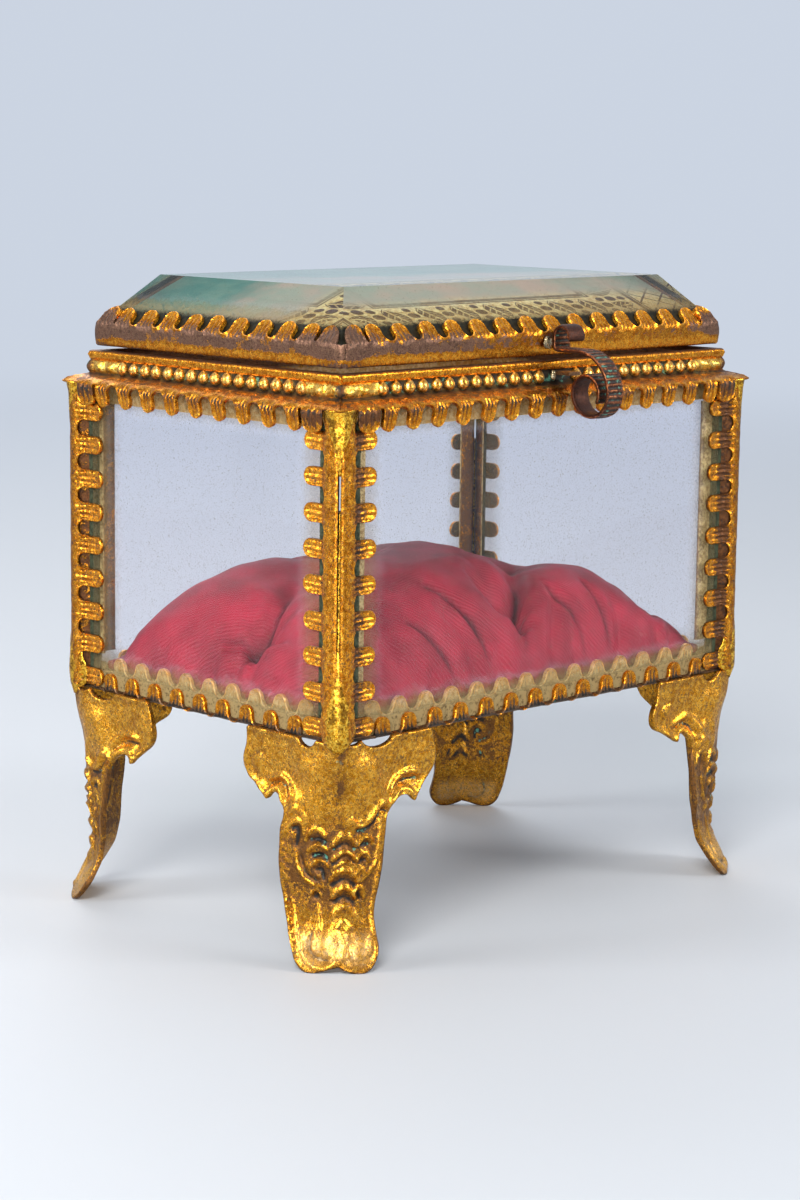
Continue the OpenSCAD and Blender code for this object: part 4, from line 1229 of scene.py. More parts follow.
def rail_inside(side, seed):
    """The tabs of a rail behind the pane."""
    length = side_length(side) - 11.2
    section = Section([(INNER_DEPTH, STRIP_LOW), (INNER_DEPTH, STRIP_LOW + INNER_TAB)], side=-1)
    comb = Comb(length, INNER_TAB / 2, INNER_TAB, even_tabs(length, 3.0, seed=seed))
    relief, values = tab_relief(comb, height=0.10, seed=seed, tilt=-0.05, root_gold=0.3)

    def place(flat, lift):
        d, z = section.at(flat[:, 1], lift)
        return on_side(side, flat[:, 0] - length / 2, d, z)

    def dusty(flat, lift):
        found = values(flat, lift)
        found["pale"] = 0.9 - 0.5 * smoothstep(3.0, INNER_TAB, flat[:, 1])
        return found

    return sheet(comb.outline(), comb.inner(INNER_LEVELS), place, relief, dusty)


for number, side in enumerate(SIDES):
    name = "base_rail_" + side
    points, faces, data = joined(rail_outside(side, 300 + number), rail_inside(side, 309 + number))
    piece(name, points, faces, "casket", brass_base, [name], data)

# %% [markdown]
# ## Lid frame
# One stamped strip goes round the lid: a lip under the glass, an upright side with a rounded lower edge,
# and ribbed tabs bent over the bevel. It was bent round the corners cold, so it buckled into a dent
# there. Four mitred sides would show joints, so the whole strip is laid out flat and wrapped round.
# %% The way round the lid
LID_CORNER = 1.0
LID_HALVES = np.array([LID_HALF_W, LID_HALF_D, LID_HALF_W, LID_HALF_D])
LID_SPAN = 2 * LID_HALVES - 2 * LID_CORNER
LID_BEND = LID_CORNER * math.pi / 2
LID_STARTS = np.concatenate([[0], np.cumsum(LID_SPAN + LID_BEND)])


def round_lid(x, d, z):
    """Model points from the way round the lid, from the front's left end, the depth in and the height."""
    x = np.mod(x, LID_STARTS[-1])
    number = np.clip(np.searchsorted(LID_STARTS, x, side="right") - 1, 0, 3)
    along = x - LID_STARTS[number]
    half_long = LID_SPAN[number] / 2
    deep = np.maximum(d - LID_CORNER, 0)
    straight = np.clip(along - half_long, -half_long, half_long)
    straight = straight - np.sign(straight) * deep * smoothstep(half_long - 6, half_long, np.abs(straight))
    turn = np.clip((along - 2 * half_long) / LID_CORNER, 0, math.pi / 2)
    reach = np.maximum(LID_CORNER - d, 0)
    across = np.where(number % 2 == 0, LID_HALF_D, LID_HALF_W)
    a = straight + reach * np.sin(turn)
    b = deep + LID_CORNER - across - reach * np.cos(turn)
    c, s = np.cos(number * math.pi / 2), np.sin(number * math.pi / 2)
    return np.column_stack([a * c - b * s, MID_Y + a * s + b * c, z])


def corner_gap(x):
    """How far a point is from the nearest lid corner, along the frame."""
    middles = np.concatenate([LID_STARTS[1:] - LID_BEND / 2, [-LID_BEND / 2]])
    return np.abs(x[:, None] - middles[None]).min(1)


print("way round the lid %.1f mm" % LID_STARTS[-1])

# %% [markdown]
# ### The strip of the lid frame
# The strip takes the same comb and sheet as the others. Each side has a wide tab beside each corner and
# tabs at an even pitch between. The front is less worn than the ends, and its lower edge is polished.
# %% Lid frame
LID_TAB = 3.0
LID_Z = LID_LOW[2]
LID_FOLD_Z = LID_Z + 3.0
LID_LINE = [(2.2, LID_Z), (0.25, LID_Z - 0.55), (0, LID_FOLD_Z), (2.01, LID_FOLD_Z + 2.24)]
LIP_LEVELS = [0.6, 1.2, 1.75]

lid_tabs = []
for number, span in enumerate(LID_SPAN):
    side_tabs = even_tabs(span + 2 * LID_CORNER, 7.0, 3.2, 0.10, 400 + number, width=2.85)
    lid_tabs += [(LID_STARTS[number] + middle - LID_CORNER, width) for middle, width in side_tabs]
lid_section = Section(rounded(LID_LINE, [0.80, 0.50]), side=-1)
lid_fold = lid_section.length - LID_TAB
lid_comb = Comb(LID_STARTS[-1], lid_fold + 0.1, lid_section.length, lid_tabs)
lid_relief, lid_values = tab_relief(lid_comb, height=0.16, rim=0.13, seed=41, tilt=0.2)


def lid_place(flat, lift):
    d, z = lid_section.at(flat[:, 1], lift)
    return round_lid(flat[:, 0], d, z)


def lid_stamped(flat):
    x, y = flat.T
    dent = bell(corner_gap(x), 0, 0.95) * smoothstep(lid_fold - 1.6, lid_fold + 0.3, y)
    side = smoothstep(2.0, 2.8, y) * smoothstep(lid_fold, lid_fold - 0.6, y)
    return lid_relief(flat) - 0.42 * dent + 0.09 * side * wobble(x, y, 3.4, 44)


def lid_worn(flat, lift):
    found = lid_values(flat, lift)
    x, y = flat.T
    near = corner_gap(x)
    front = smoothstep(12, 50, x) * (x < LID_STARTS[1])
    patches = 0.5 + 0.5 * wobble(x, y * 2, 13.0, 47)
    found["wear"] += 0.50 * bell(y, 2.5, 0.60) + 0.04 * bell(y, lid_fold, 0.6) * (near > 2)
    found["wear"] += 0.22 * front + 0.30 * patches * smoothstep(2.5, 5.0, near)
    found["wear"] -= 0.42 * bell(near, 0, 6.0) * smoothstep(3.2, 4.2, y)
    found["grime"] += 0.30 * bell(near, 0, 1.0) * smoothstep(lid_fold - 0.6, lid_fold, y)
    return found


def at_ends(flat):
    """True where the strip's two ends meet."""
    return (flat[:, 0] < 1e-6) | (flat[:, 0] > LID_STARTS[-1] - 1e-6)


lid_inner = lid_comb.inner(LIP_LEVELS + [y for y in lid_section.levels(fine=0.14, coarse=0.7) if y > 1.8])
points, faces, data = sheet(lid_comb.outline(), lid_inner, lid_place, lid_stamped, lid_worn,
                            open_edge=at_ends)
piece("lid_frame", points, faces, "lid", brass_lid, ["lid_frame"], data)

# %% [markdown]
# ## Feet
# Each foot is one stamped plate, bent along its middle and curved like a cabriole leg: wings that end
# in a spur below the frame, shoulders, a waist and a toe with two lobes. The plate isn't symmetric, and
# the same stamping was used four times. Sculpting would suit one foot, but a flat drawing that is bent
# keeps all four alike. Places on it are across the sheet from the bend, and up from the floor.
# %% The plate
def numbers(text):
    """Pairs of numbers out of a text, as points."""
    return np.array(text.split(), float).reshape(-1, 2)


def eased(xs, ys, blur=0.04):
    """A smooth curve through straight steps."""
    x = np.linspace(xs[0], xs[-1], 400)
    y = np.interp(x, xs, ys)
    size = max(3, int(blur * 400) * 2 + 1)
    kernel = np.hanning(size + 2)[1:-1]
    longer = np.concatenate([2 * y[0] - y[size:0:-1], y, 2 * y[-1] - y[-2:-size - 2:-1]])
    smooth = np.convolve(longer, kernel / kernel.sum(), "same")[size:-size]
    return lambda v: np.interp(v, x, smooth)


foot_out = eased([0, 0.10, 0.20, 0.30, 0.50, 0.74, 1.0], [0.45, -1.35, -2.76, -3.0, -2.34, -1.2, -0.1])
foot_angle = eased([0, 0.2, 0.45, 0.65, 0.78, 1.0], [14, 20, 25, 36, 45, 45])
WING = 18.2
NOTCHES = ((-6.0, 1.7, 1.15), (7.7, 2.9, 1.25), (3.2, 1.3, 0.45))  # middle, half width, depth
EDGE_LEFT = numbers(
    "-1.2 0.5  -2.4 0.12  -3.6 0.0  -4.8 0.25  -5.8 1.2  -6.3 2.4  -6.9 4.2  -7.4 6.3  -7.9 8.7  "
    "-8.4 10.9  -8.9 13.9  -9.2 16.4  -9.4 18.9  -9.2 20.4  -9.5 21.7  -10.5 22.8  -11.5 23.3  "
    "-12.3 23.1  -12.9 22.2  -14.2 22.9  -15.8 23.8  -17.6 24.6  -18.5 25.8  -18.7 27.2  "
    "-18.2 29.2  -18.2 31.6")
EDGE_RIGHT = numbers(
    "0.4 0.85  1.2 0.45  2.5 0.08  3.9 0.0  5.0 0.4  5.8 1.5  6.1 3.0  5.8 4.9  5.5 7.0  5.7 8.9  "
    "6.3 11.3  6.9 14.3  7.7 18.0  8.3 20.4  9.1 21.6  10.3 22.6  11.8 23.1  13.0 22.9  13.7 22.1  "
    "14.5 22.8  15.8 23.9  17.6 25.3  18.6 26.8  18.7 28.7  18.2 31.6")


def smooth_line(points, step=0.3):
    """A curve through the points, with new points about step apart."""
    p = np.array(points, float)
    ends = np.vstack([2 * p[0] - p[1], p, 2 * p[-1] - p[-2]])
    found = []
    for a, b, c, d in zip(ends, ends[1:], ends[2:], ends[3:]):
        count = max(2, int(np.linalg.norm(c - b) / step))
        for t in np.linspace(0, 1, count, endpoint=False):
            found.append(0.5 * (2 * b + (c - a) * t + (2 * a - 5 * b + 4 * c - d) * t ** 2
                                + (3 * b - a - 3 * c + d) * t ** 3))
    return np.array(found + [p[-1]])


def foot_outline():
    """The flat plate, counter-clockwise from the notch in the toe."""
    right, left = smooth_line(EDGE_RIGHT, 0.35), smooth_line(EDGE_LEFT, 0.35)
    across = np.linspace(WING, -WING, 130)[1:-1]
    top = np.column_stack([across, np.full(len(across), FOOT_H + 0.28)])
    for middle, half, deep in NOTCHES:
        top[:, 1] -= deep * np.maximum(0, 1 - ((across - middle) / half) ** 2) ** 0.6
    return np.vstack([right, top, left[::-1]])


OUTLINE = foot_outline()
CLOSED = np.vstack([OUTLINE, OUTLINE[:1]])
print("plate %.1f wide, %d points round it" % (np.ptp(OUTLINE[:, 0]), len(OUTLINE)))

# %% [markdown]
# ### Strokes of the relief
# The die raised scrolls at the shoulders, a chain of husks down the middle, open cells on both sides of
# it, ribs along the edges and two lobes on the toe. Each is a stroke: a height, half a width and its
# points, raised above 0 and sunk below 0. A painted height would be quicker, but strokes have no pixels
# and can be moved one by one.
# %% Strokes of the relief
STROKES = [
    # arches over the notches, with the sunk field and the lip under them
    (0.40, 0.42, "9.4 24.2  10.3 25.2  11.9 26.0  13.6 26.3  15.4 25.8"),
    (-0.25, 0.40, "9.8 23.6  11.3 24.6  13.1 25.1  14.8 25.0"),
    (0.28, 0.42, "9.6 22.6  11.4 23.9  13.0 23.8  13.9 22.9"),
    (0.40, 0.42, "-7.7 23.6  -8.5 24.6  -9.6 25.4  -11.0 25.8  -13.2 25.0"),
    (-0.25, 0.40, "-9.0 23.2  -10.0 24.3  -11.5 24.7  -13.0 24.2"),
    (0.28, 0.42, "-9.7 22.3  -11.0 23.9  -12.3 23.8  -13.0 22.9"),
    (-0.18, 0.40, "-14.6 28.6  -16.6 28.2  -17.2 26.6  -16.0 25.4"),
    # shoulders
    (0.34, 0.42, "-7.9 21.0  -7.1 21.9  -6.0 21.8  -5.3 21.1  -5.1 20.2"),
    (0.30, 0.38, "-8.4 18.4  -7.7 19.6  -6.5 20.2  -5.5 19.8  -5.3 18.6"),
    (-0.26, 0.34, "-7.3 18.9  -6.6 19.2  -6.3 18.2  -6.5 16.8"),
    (0.42, 0.45, "8.8 22.2  7.9 22.8  6.9 22.4  6.1 21.5  5.4 20.6  4.2 20.0  3.0 20.2  2.3 21.0"),
    (-0.28, 0.34, "8.2 21.5  7.4 21.6  6.8 20.9  5.9 19.9  4.8 19.3  3.4 19.2"),
    (0.20, 0.70, "1.9 20.9  2.6 23.2  4.3 24.8"),
    (0.18, 0.70, "-3.0 20.6  -3.4 22.6  -4.6 24.4"),
    # ribs down the sides
    (0.26, 0.28, "6.9 20.6  7.0 19.2  6.5 16.9  5.9 14.9  4.9 13.3  3.6 12.2"),
    (0.20, 0.26, "7.9 20.6  7.5 18.7  6.9 16.3  6.2 13.1  5.6 10.6  5.0 8.2"),
    (0.26, 0.26, "-7.6 8.9  -6.9 5.6  -6.2 2.9  -5.2 1.2"),
    (0.20, 0.28, "-6.6 9.2  -6.1 5.8  -5.4 2.9"),
    (-0.14, 0.20, "-7.1 9.0  -6.5 5.7  -5.8 2.8"),
    (0.16, 0.24, "-8.7 15.6  -7.7 14.5"),
    (0.16, 0.24, "-8.7 14.4  -7.4 13.1"),
    (0.16, 0.24, "-8.5 13.1  -7.3 11.9"),
    (0.16, 0.24, "-8.6 16.7  -7.8 15.9"),
    # chain of husks down the middle
    (0.34, 0.30, "-0.5 17.4  0.2 18.5  1.2 18.9  2.1 18.5  2.8 17.3"),
    (0.32, 0.28, "-0.5 15.4  0.3 16.2  1.2 16.5  2.0 16.2  2.7 15.3"),
    (0.24, 0.22, "-0.3 14.3  0.5 14.9  1.2 15.1  1.9 14.9  2.4 14.3"),
    (0.34, 0.30, "-0.8 12.5  -0.1 13.6  1.1 14.0  2.2 13.5  3.0 12.2"),
    (0.32, 0.30, "-0.5 10.0  0.2 11.1  1.1 11.4  1.9 11.0  2.6 9.9"),
    (0.32, 0.30, "-0.3 7.6  0.3 8.5  1.1 8.8  1.8 8.5  2.4 7.4"),
    (0.26, 0.34, "0.1 5.9  0.9 6.6  1.7 5.8"),
    (-0.24, 0.36, "-0.4 16.9  1.2 17.7  2.6 16.8"),
    (-0.18, 0.30, "-0.5 14.8  1.2 15.8  2.6 14.8"),
    (-0.24, 0.40, "-0.5 11.8  1.1 12.7  2.6 11.6"),
    (-0.24, 0.40, "-0.4 9.3  1.1 10.1  2.4 9.1"),
    # cells on both sides of the chain
    (0.34, 0.36, "-4.9 17.8  -4.2 19.1  -3.0 19.5  -1.9 18.8"),
    (0.32, 0.30, "-4.4 16.3  -3.2 17.2  -2.2 17.3  -1.4 16.8"),
    (0.30, 0.28, "-3.8 14.3  -2.7 15.1  -1.8 15.0  -1.2 14.4"),
    (-0.34, 0.34, "-4.0 17.9  -2.9 18.1  -1.8 17.7"),
    (-0.34, 0.32, "-3.6 15.6  -2.4 15.9  -1.5 15.5"),
    (-0.28, 0.32, "-3.0 13.7  -2.2 13.8  -1.9 12.6"),
    (0.22, 0.22, "-2.7 12.9  -2.1 12.7  -2.0 11.9"),
    (0.26, 0.28, "-6.3 15.9  -5.9 14.0  -5.0 12.6  -3.7 11.6  -1.9 11.4"),
    (-0.20, 0.30, "-5.6 15.4  -5.0 13.8  -4.2 12.7  -2.9 12.1"),
    (0.24, 0.28, "-3.7 10.3  -2.9 10.9  -2.3 10.1"),
    (-0.30, 0.34, "-3.1 9.8  -2.8 10.1"),
    (0.30, 0.28, "3.2 17.3  4.1 18.2  5.2 18.1  5.6 17.1"),
    (-0.30, 0.34, "3.9 17.2  4.9 17.2"),
    (0.28, 0.28, "3.0 15.2  3.9 16.1  4.7 15.8  4.9 14.8"),
    (-0.28, 0.32, "3.7 15.0  4.3 15.0"),
    (0.26, 0.28, "2.8 13.3  3.6 14.0  4.2 13.2"),
    (0.26, 0.28, "2.5 10.5  3.1 11.4  3.9 10.9  3.9 9.7"),
    (-0.28, 0.30, "3.1 10.4  3.4 9.6"),
    (0.22, 0.24, "-2.6 8.8  -2.5 7.1  -2.3 5.7"),
    # toe
    (-0.28, 0.30, "-3.5 4.9  -3.8 3.5  -3.4 2.4  -2.3 1.8  -0.9 1.7"),
    (0.28, 0.40, "-5.0 4.8  -4.8 2.6  -3.6 1.1  -1.8 0.75  0.0 1.6"),
    (-0.10, 0.30, "1.5 4.6  2.8 5.6  4.6 5.4  5.6 4.2"),
    (-0.14, 0.26, "1.6 3.4  2.1 2.2  3.4 1.5  4.9 1.9"),
    (0.26, 0.42, "0.6 5.3  1.2 3.8  0.9 2.2"),
]
# middle, half sizes and height of the soft swellings
SWELLS = [((-1.6, 3.8), (2.1, 2.3), 0.50), ((3.5, 3.4), (1.9, 2.0), 0.42),
          ((1.1, 12.5), (1.9, 8.5), 0.30), ((-6.5, 23.0), (3.2, 2.4), 0.60),
          ((6.6, 24.6), (3.2, 2.4), 0.65), ((-16.0, 27.0), (2.2, 2.4), 0.30),
          ((16.2, 27.4), (2.2, 2.4), 0.30), ((0.0, 24.0), (1.5, 5.0), -0.55),
          ((-4.6, 27.4), (3.4, 2.4), 0.55), ((4.8, 27.6), (3.4, 2.4), 0.55),
          ((-6.8, 6.0), (1.4, 6.0), -0.10), ((-3.0, 16.0), (2.6, 4.0), 0.15)]


def near_line(flat, line):
    """How far each point is from a line."""
    best = np.full(len(flat), 1e9)
    for a, b in zip(line, line[1:]):
        along = b - a
        t = np.clip(((flat - a) @ along) / (along @ along), 0, 1)
        best = np.minimum(best, np.linalg.norm(flat - a - t[:, None] * along, axis=1))
    return best


def inside(outline, points):
    """True for the points inside an outline."""
    x, y = points[:, 0], points[:, 1]
    found = np.zeros(len(points), bool)
    for (xa, ya), (xb, yb) in zip(outline, np.roll(outline, -1, 0)):
        crosses = (ya > y) != (yb > y)
        with np.errstate(divide="ignore", invalid="ignore"):
            found ^= crosses & (x < (xb - xa) * (y - ya) / (yb - ya) + xa)
    return found


print("strokes", len(STROKES), "swellings", len(SWELLS))

# %% [markdown]
# ### Stamp and wear the feet
# The height at a place is the highest raised stroke, the deepest sunk one and the swellings, with a roll
# along the edge where the die gripped. Adding all strokes up would pile them where they cross. The
# gilding is left on what is raised, and dirt ran down from the frame.
# %% Stamp and wear
STROKE_LIFT, SWELL_LIFT = 1.3, 1.35
LINES = [(smooth_line(numbers(points)), STROKE_LIFT * height, half) for height, half, points in STROKES]


def stamped_foot(flat):
    """How far each point is raised, and how deep it lies beside what is raised."""
    high, low = np.zeros(len(flat)), np.zeros(len(flat))
    for line, height, half in LINES:
        bump = height * bell(near_line(flat, line), 0, half)
        high, low = (np.maximum(high, bump), low) if height > 0 else (high, np.minimum(low, bump))
    swell = np.zeros(len(flat))
    for (x, z), (rx, rz), height in SWELLS:
        swell += SWELL_LIFT * height * bell(flat[:, 0], x, rx) * bell(flat[:, 1], z, rz)
    edge = near_line(flat, CLOSED)
    return np.maximum(high, 0.20 * bell(edge, 0.30, 0.30)), high, low, swell, edge


def foot_relief(flat):
    raised, _, low, swell, _ = stamped_foot(flat)
    return raised + low + swell + 0.12 * wobble(flat[:, 0], flat[:, 1], 3.6, 61)


def foot_worn(flat, lift):
    x, z = flat.T
    raised, high, low, swell, edge = stamped_foot(flat)
    patches = 0.5 + 0.5 * wobble(x, z, 3.1, 64)
    stain = bell(x, 0.4, 1.5) * smoothstep(20.0, 24, z) * patches + 0.35 * bell(z, 31.3, 0.6)
    hollow = bell(x, -1.6, 2.4) * bell(z, 14.5, 4.0)
    toe = smoothstep(6.0, 3.5, z) * smoothstep(0.2, 1.8, edge)
    plate = smoothstep(20.0, 23.5, z)
    shank = smoothstep(21.5, 18.5, z) * smoothstep(6.5, 9.5, z)
    gold = 0.55 + 0.70 * raised + 0.5 * low + 0.10 * swell - 0.38 * stain - 0.10 * hollow
    gold -= 0.34 * bell(edge, 0, 0.30) * (0.5 + 0.5 * smoothstep(8, 1, z))
    gold += 0.10 * plate - 0.16 * shank
    soil = 0.20 - 1.9 * low + 0.40 * stain - 0.30 * high + 0.12 * hollow + 0.14 * shank
    return {"wear": gold, "grime": soil, "pale": 0.45 * toe}


print("highest stroke %.2f mm" % max(height for _, height, _ in LINES))

# %% [markdown]
# ### Bend the feet
# The plate is folded along its middle, and the fold runs out and in with the height like the front of a
# cabriole leg. The signs of a corner turn the same stamping into its place, where a mirrored copy would
# be a second die. The front left foot gets closer points, because it faces the viewer.
# %% Make the feet
FOOT_SHEET = 0.6


def foot(corner):
    """The foot at one corner."""
    sx, sy = CORNERS[corner]

    def place(flat, lift):
        a, z = flat[:, 0] * sx * sy, flat[:, 1]
        angle = np.radians(foot_angle(z / FOOT_H))
        slope = a / np.sqrt(a * a + 1)
        p = foot_out(z / FOOT_H) - (np.sqrt(a * a + 1) - 1) * np.sin(angle) + lift * np.cos(angle)
        q = a * np.cos(angle) + lift * slope * np.sin(angle)
        return at_corner(corner, *diagonal(p, q), z)

    low, high = OUTLINE.min(0), OUTLINE.max(0)
    step = 0.24 if corner == "front_left" else 0.34
    xs, zs = np.meshgrid(np.arange(low[0], high[0], step), np.arange(low[1], high[1], step))
    xs = xs + np.where(np.arange(len(xs))[:, None] % 2 == 0, step / 2, 0)
    inner = np.column_stack([xs.ravel(), zs.ravel()])
    inner = inner[inside(OUTLINE, inner)]
    inner = inner[near_line(inner, CLOSED) > 0.28]
    points, faces, data = sheet(OUTLINE, inner, place, foot_relief, foot_worn, thick=FOOT_SHEET)
    name = "foot_" + corner
    return piece(name, points, faces, "casket", brass_foot, [name], data, smooth=60)


for corner in CORNERS:
    foot(corner)

# %% [markdown]
# ## Latch
# The latch is a thick coppered strip, ribbed across by a roller and then curled round a pin with pliers.
# It is swept as a rounded section along its line, with the ribs on its outer face. A curve with a bevel
# would give the curls, but not ribs on one side only.
# %% Latch
LATCH_LOW, LATCH_HIGH = box_mm("latch_scroll")
LATCH_X = (LATCH_LOW[0] + LATCH_HIGH[0]) / 2
LATCH_W, LATCH_T = 3.3, 0.5
RIB_STEP, RIB_H = 0.80, 0.16
END_ROUND = 0.35
LATCH_LINE = (arc((1.8, 84.7), 1.5, -25, 180, 30)
              + rounded([(0.3, 84.4), (0.3, 82.7), (4.0, 82.7)], 0.8)[1:]
              + arc((4.85, 77.0), 5.7, 90, 0, 40)
              + arc((7.35, 77.0), 3.2, -2, -178, 40)
              + arc((6.5, 77.0), 2.35, 180, -35, 40))


def swept_strip(line, around=28):
    """A ribbed strip along a line of (out, up) points: points, faces and values."""
    line = np.array(line)
    s = np.concatenate([[0], np.cumsum(np.linalg.norm(np.diff(line, axis=0), axis=1))])
    keep = np.concatenate([[True], np.diff(s) > 1e-6])
    at = np.linspace(0, s[-1], int(s[-1] / 0.09))
    a, b = np.interp(at, s[keep], line[keep, 0]), np.interp(at, s[keep], line[keep, 1])
    heading = np.arctan2(np.gradient(b), np.gradient(a))[:, None]
    t = 2 * math.pi * (np.arange(around) + 0.5) / around
    aside = np.abs(np.cos(t)) ** 0.45
    wide = np.sign(np.cos(t)) * aside * LATCH_W / 2
    deep = np.sign(np.sin(t)) * np.abs(np.sin(t)) ** 0.6 * LATCH_T / 2
    rib = 0.5 + 0.5 * np.cos(2 * math.pi * at / RIB_STEP)
    close = np.minimum(smoothstep(0, END_ROUND, at), smoothstep(s[-1], s[-1] - END_ROUND, at)) * 0.8 + 0.2
    raised = 1 - smoothstep(0.97, 0.80, aside)[None] * (1 - rib[:, None])
    outer = (np.sin(t) > 0)[None] * np.ones((len(at), 1))
    depth = (deep[None] + outer * raised * RIB_H) * close[:, None]
    x = LATCH_X + wide[None] * (1 - 0.12 * (1 - close))[:, None]
    out = a[:, None] - np.sin(heading) * depth
    up = b[:, None] + np.cos(heading) * depth
    points = np.stack([x, LID_LOW[1] - out, up], 2).reshape(-1, 3)
    wear = (0.28 + 0.30 * outer * raised).ravel()
    soil = (0.20 + 0.85 * outer * (1 - raised)).ravel()
    return points, tube_faces(len(at), around), {"wear": wear, "grime": soil, "pale": 0 * wear}


points, faces, data = swept_strip(LATCH_LINE)
piece("latch_scroll", points, faces, "lid", copper, ["latch_scroll"], data)

# %% [markdown]
# ## Solder
# Solder was run into the slit of each corner. It stands up as a ridge at the top, flares at the foot, and
# lies low between. Each run is a tube of rings whose width and height are set along the corner, with a
# soft unevenness. Metaballs would melt together by themselves, but can't be kept inside the slit.
# %% Solder at the corners
SLIT_RUNS = [
    # lowest, highest, half widths, crowns, seed, valley
    (FOOT_H - 1.1, STRIP_LOW + 12.4, [0.7, 2.3, 2.5, 2.3, 1.8, 1.1, 0.5, 0.3, 0.16],
     [-0.2, 0.38, 0.44, 0.44, 0.34, 0.2, 0.05, -0.1, -0.4], 500, 0.0),
    (STRIP_HIGH - 8.8, STRIP_HIGH, [0.2, 0.5, 0.9, 1.3, 1.8, 2.3, 2.7],
     [-0.3, 0.05, 0.2, 0.30, 0.40, 0.52, 0.80], 510, 0.45),
    (STRIP_LOW + 11.0, STRIP_LOW + 31.0, [0.25, 0.25, 0.25, 0.1], [-1.0, -1.4, -1.6, -2.0], 520, 0.0),
]


def slit_fill(corner, low, high, widths, crowns, seed, valley, rows=44, columns=30):
    """A lump along a corner from low to high, which falls away from its crown as the two ridges do. widths
    and crowns give half its width and how far its crown stands out, at even heights. valley is how deep it
    dips along its middle at the top."""
    z = np.linspace(low, high, rows)
    at = np.linspace(low, high, len(widths))
    wide, out = np.interp(z, at, widths)[:, None], np.interp(z, at, crowns)[:, None]
    z, t = z[:, None], 2 * math.pi * np.arange(columns)[None] / columns
    q = wide * np.cos(t) * (1 + 0.07 * wobble(z + 0 * t, 2 * t + 0 * z, 2.3, seed))
    crown = out - 0.30 * np.abs(q) ** 2.35
    crown -= valley * (np.linspace(0, 1, rows) ** 2)[:, None] * bell(q, 0, 0.55)
    crown += 0.06 * wobble(3 * q, z + 0 * q, 3.0, seed + 5)
    p = np.where(np.sin(t) > 0, crown - 0.35 * (1 - np.sin(t)) ** 2, crown - 0.35 + np.sin(t))
    return at_corner(corner, *diagonal(p, q), z), tube_faces(rows, columns), {}


lumps = []
for number, corner in enumerate(CORNERS):
    for low, high, widths, crowns, seed, valley in SLIT_RUNS:
        lumps.append(slit_fill(corner, low, high, widths, crowns, seed + number, valley))
points, faces, data = joined(*lumps)
piece("corner_solder", points, faces, "casket", solder, ["corner_solder"], data, smooth=180)

# %% [markdown]
# ### Solder in the groove and under the latch
# At each corner the rim's groove is filled with solder for the width of three beads, smooth and yellow,
# with verdigris where the two sides meet. The filling is a tube too, which turns the corner at its
# middle. Spheres would do for the blobs that hold the keeper and the latch, but unwiped solder is uneven.
# %% Solder in the groove and blobs
FILL_REACH = 7.8
FILL_LOW, FILL_HIGH = FLANGE_Z + 1.05, RIM_TOP - 1.30
FILL_BACK = 2.75


def groove_fill(corner, seed, rows=61, steps=13):
    """Solder in the groove round one corner, as a tube of rounded sections."""
    a, s = np.linspace(-FILL_REACH, FILL_REACH, rows)[:, None], np.linspace(0, 1, steps)[None]
    full = (1 - np.abs(a / FILL_REACH) ** 6) ** 0.5
    bulge = 0.56 + 0.22 * wobble(a + 0 * s, 3 * s + 0 * a, 3.0, seed) - 0.15 * bell(a, 0, 1.3)
    depth = 2.16 - full * bulge * np.sin(math.pi * s) ** 0.7
    depth = np.hstack([depth, np.full((rows, 2), FILL_BACK)])
    z = FILL_LOW + s[0] * (FILL_HIGH - FILL_LOW)
    z = np.append(z, [z[-1], z[0]])
    along = np.abs(a) + depth
    points = at_corner(corner, np.where(a > 0, along, depth), np.where(a > 0, depth, along), z[None])
    near = np.repeat(bell(a[:, 0], 0, 2.1), steps + 2)
    values = {"wear": 0.72 - 0.45 * near, "grime": 0.18 + 0.62 * near, "pale": 0 * near}
    return points, tube_faces(rows, steps + 2), values


def blob(low, high, seed):
    """An uneven round lump that fills a box."""
    points, faces = egg(rows=14, columns=22, tip=0)
    swell = 1 + 0.16 * wobble(points[:, 0] * 2 + points[:, 2], points[:, 1] * 2, 2.4, seed)
    return points * swell[:, None] * (high - low) / 2 + (low + high) / 2, faces


points, faces, data = joined(*(groove_fill(corner, 530 + i) for i, corner in enumerate(CORNERS)))
piece("groove_solder", points, faces, "casket", filled_brass, (), data, smooth=180)
for node, body in (("keeper_solder", "casket"), ("latch_solder", "lid")):
    points, faces = blob(*box_mm(node), 520)
    piece(node, points, faces, body, tin, [node], smooth=180)

# %% [markdown]
# ## Cushion
# The cushion is silk over wadding, stitched down at a few tufts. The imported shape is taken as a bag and
# filled by cloth simulation with the tufts and the underside held, because the swelling between the
# stitches is hard to draw. Cloth is steadier at ten times the size.
# %% Fill the cushion
SIM = 10.0
LARGEST_MOVE = 1.0
# across and along from the casket's middle, depth and width of the tufts
TUFTS = [(1.0, -18.2, 6.5, 3.4), (-33.0, -4.5, 5.5, 4.0), (22.0, 3.0, 5.0, 5.0), (-8.0, 8.0, 3.5, 4.5),
         (31.0, -17.0, 2.6, 4.0), (6.0, 21.0, 5.0, 4.5)]
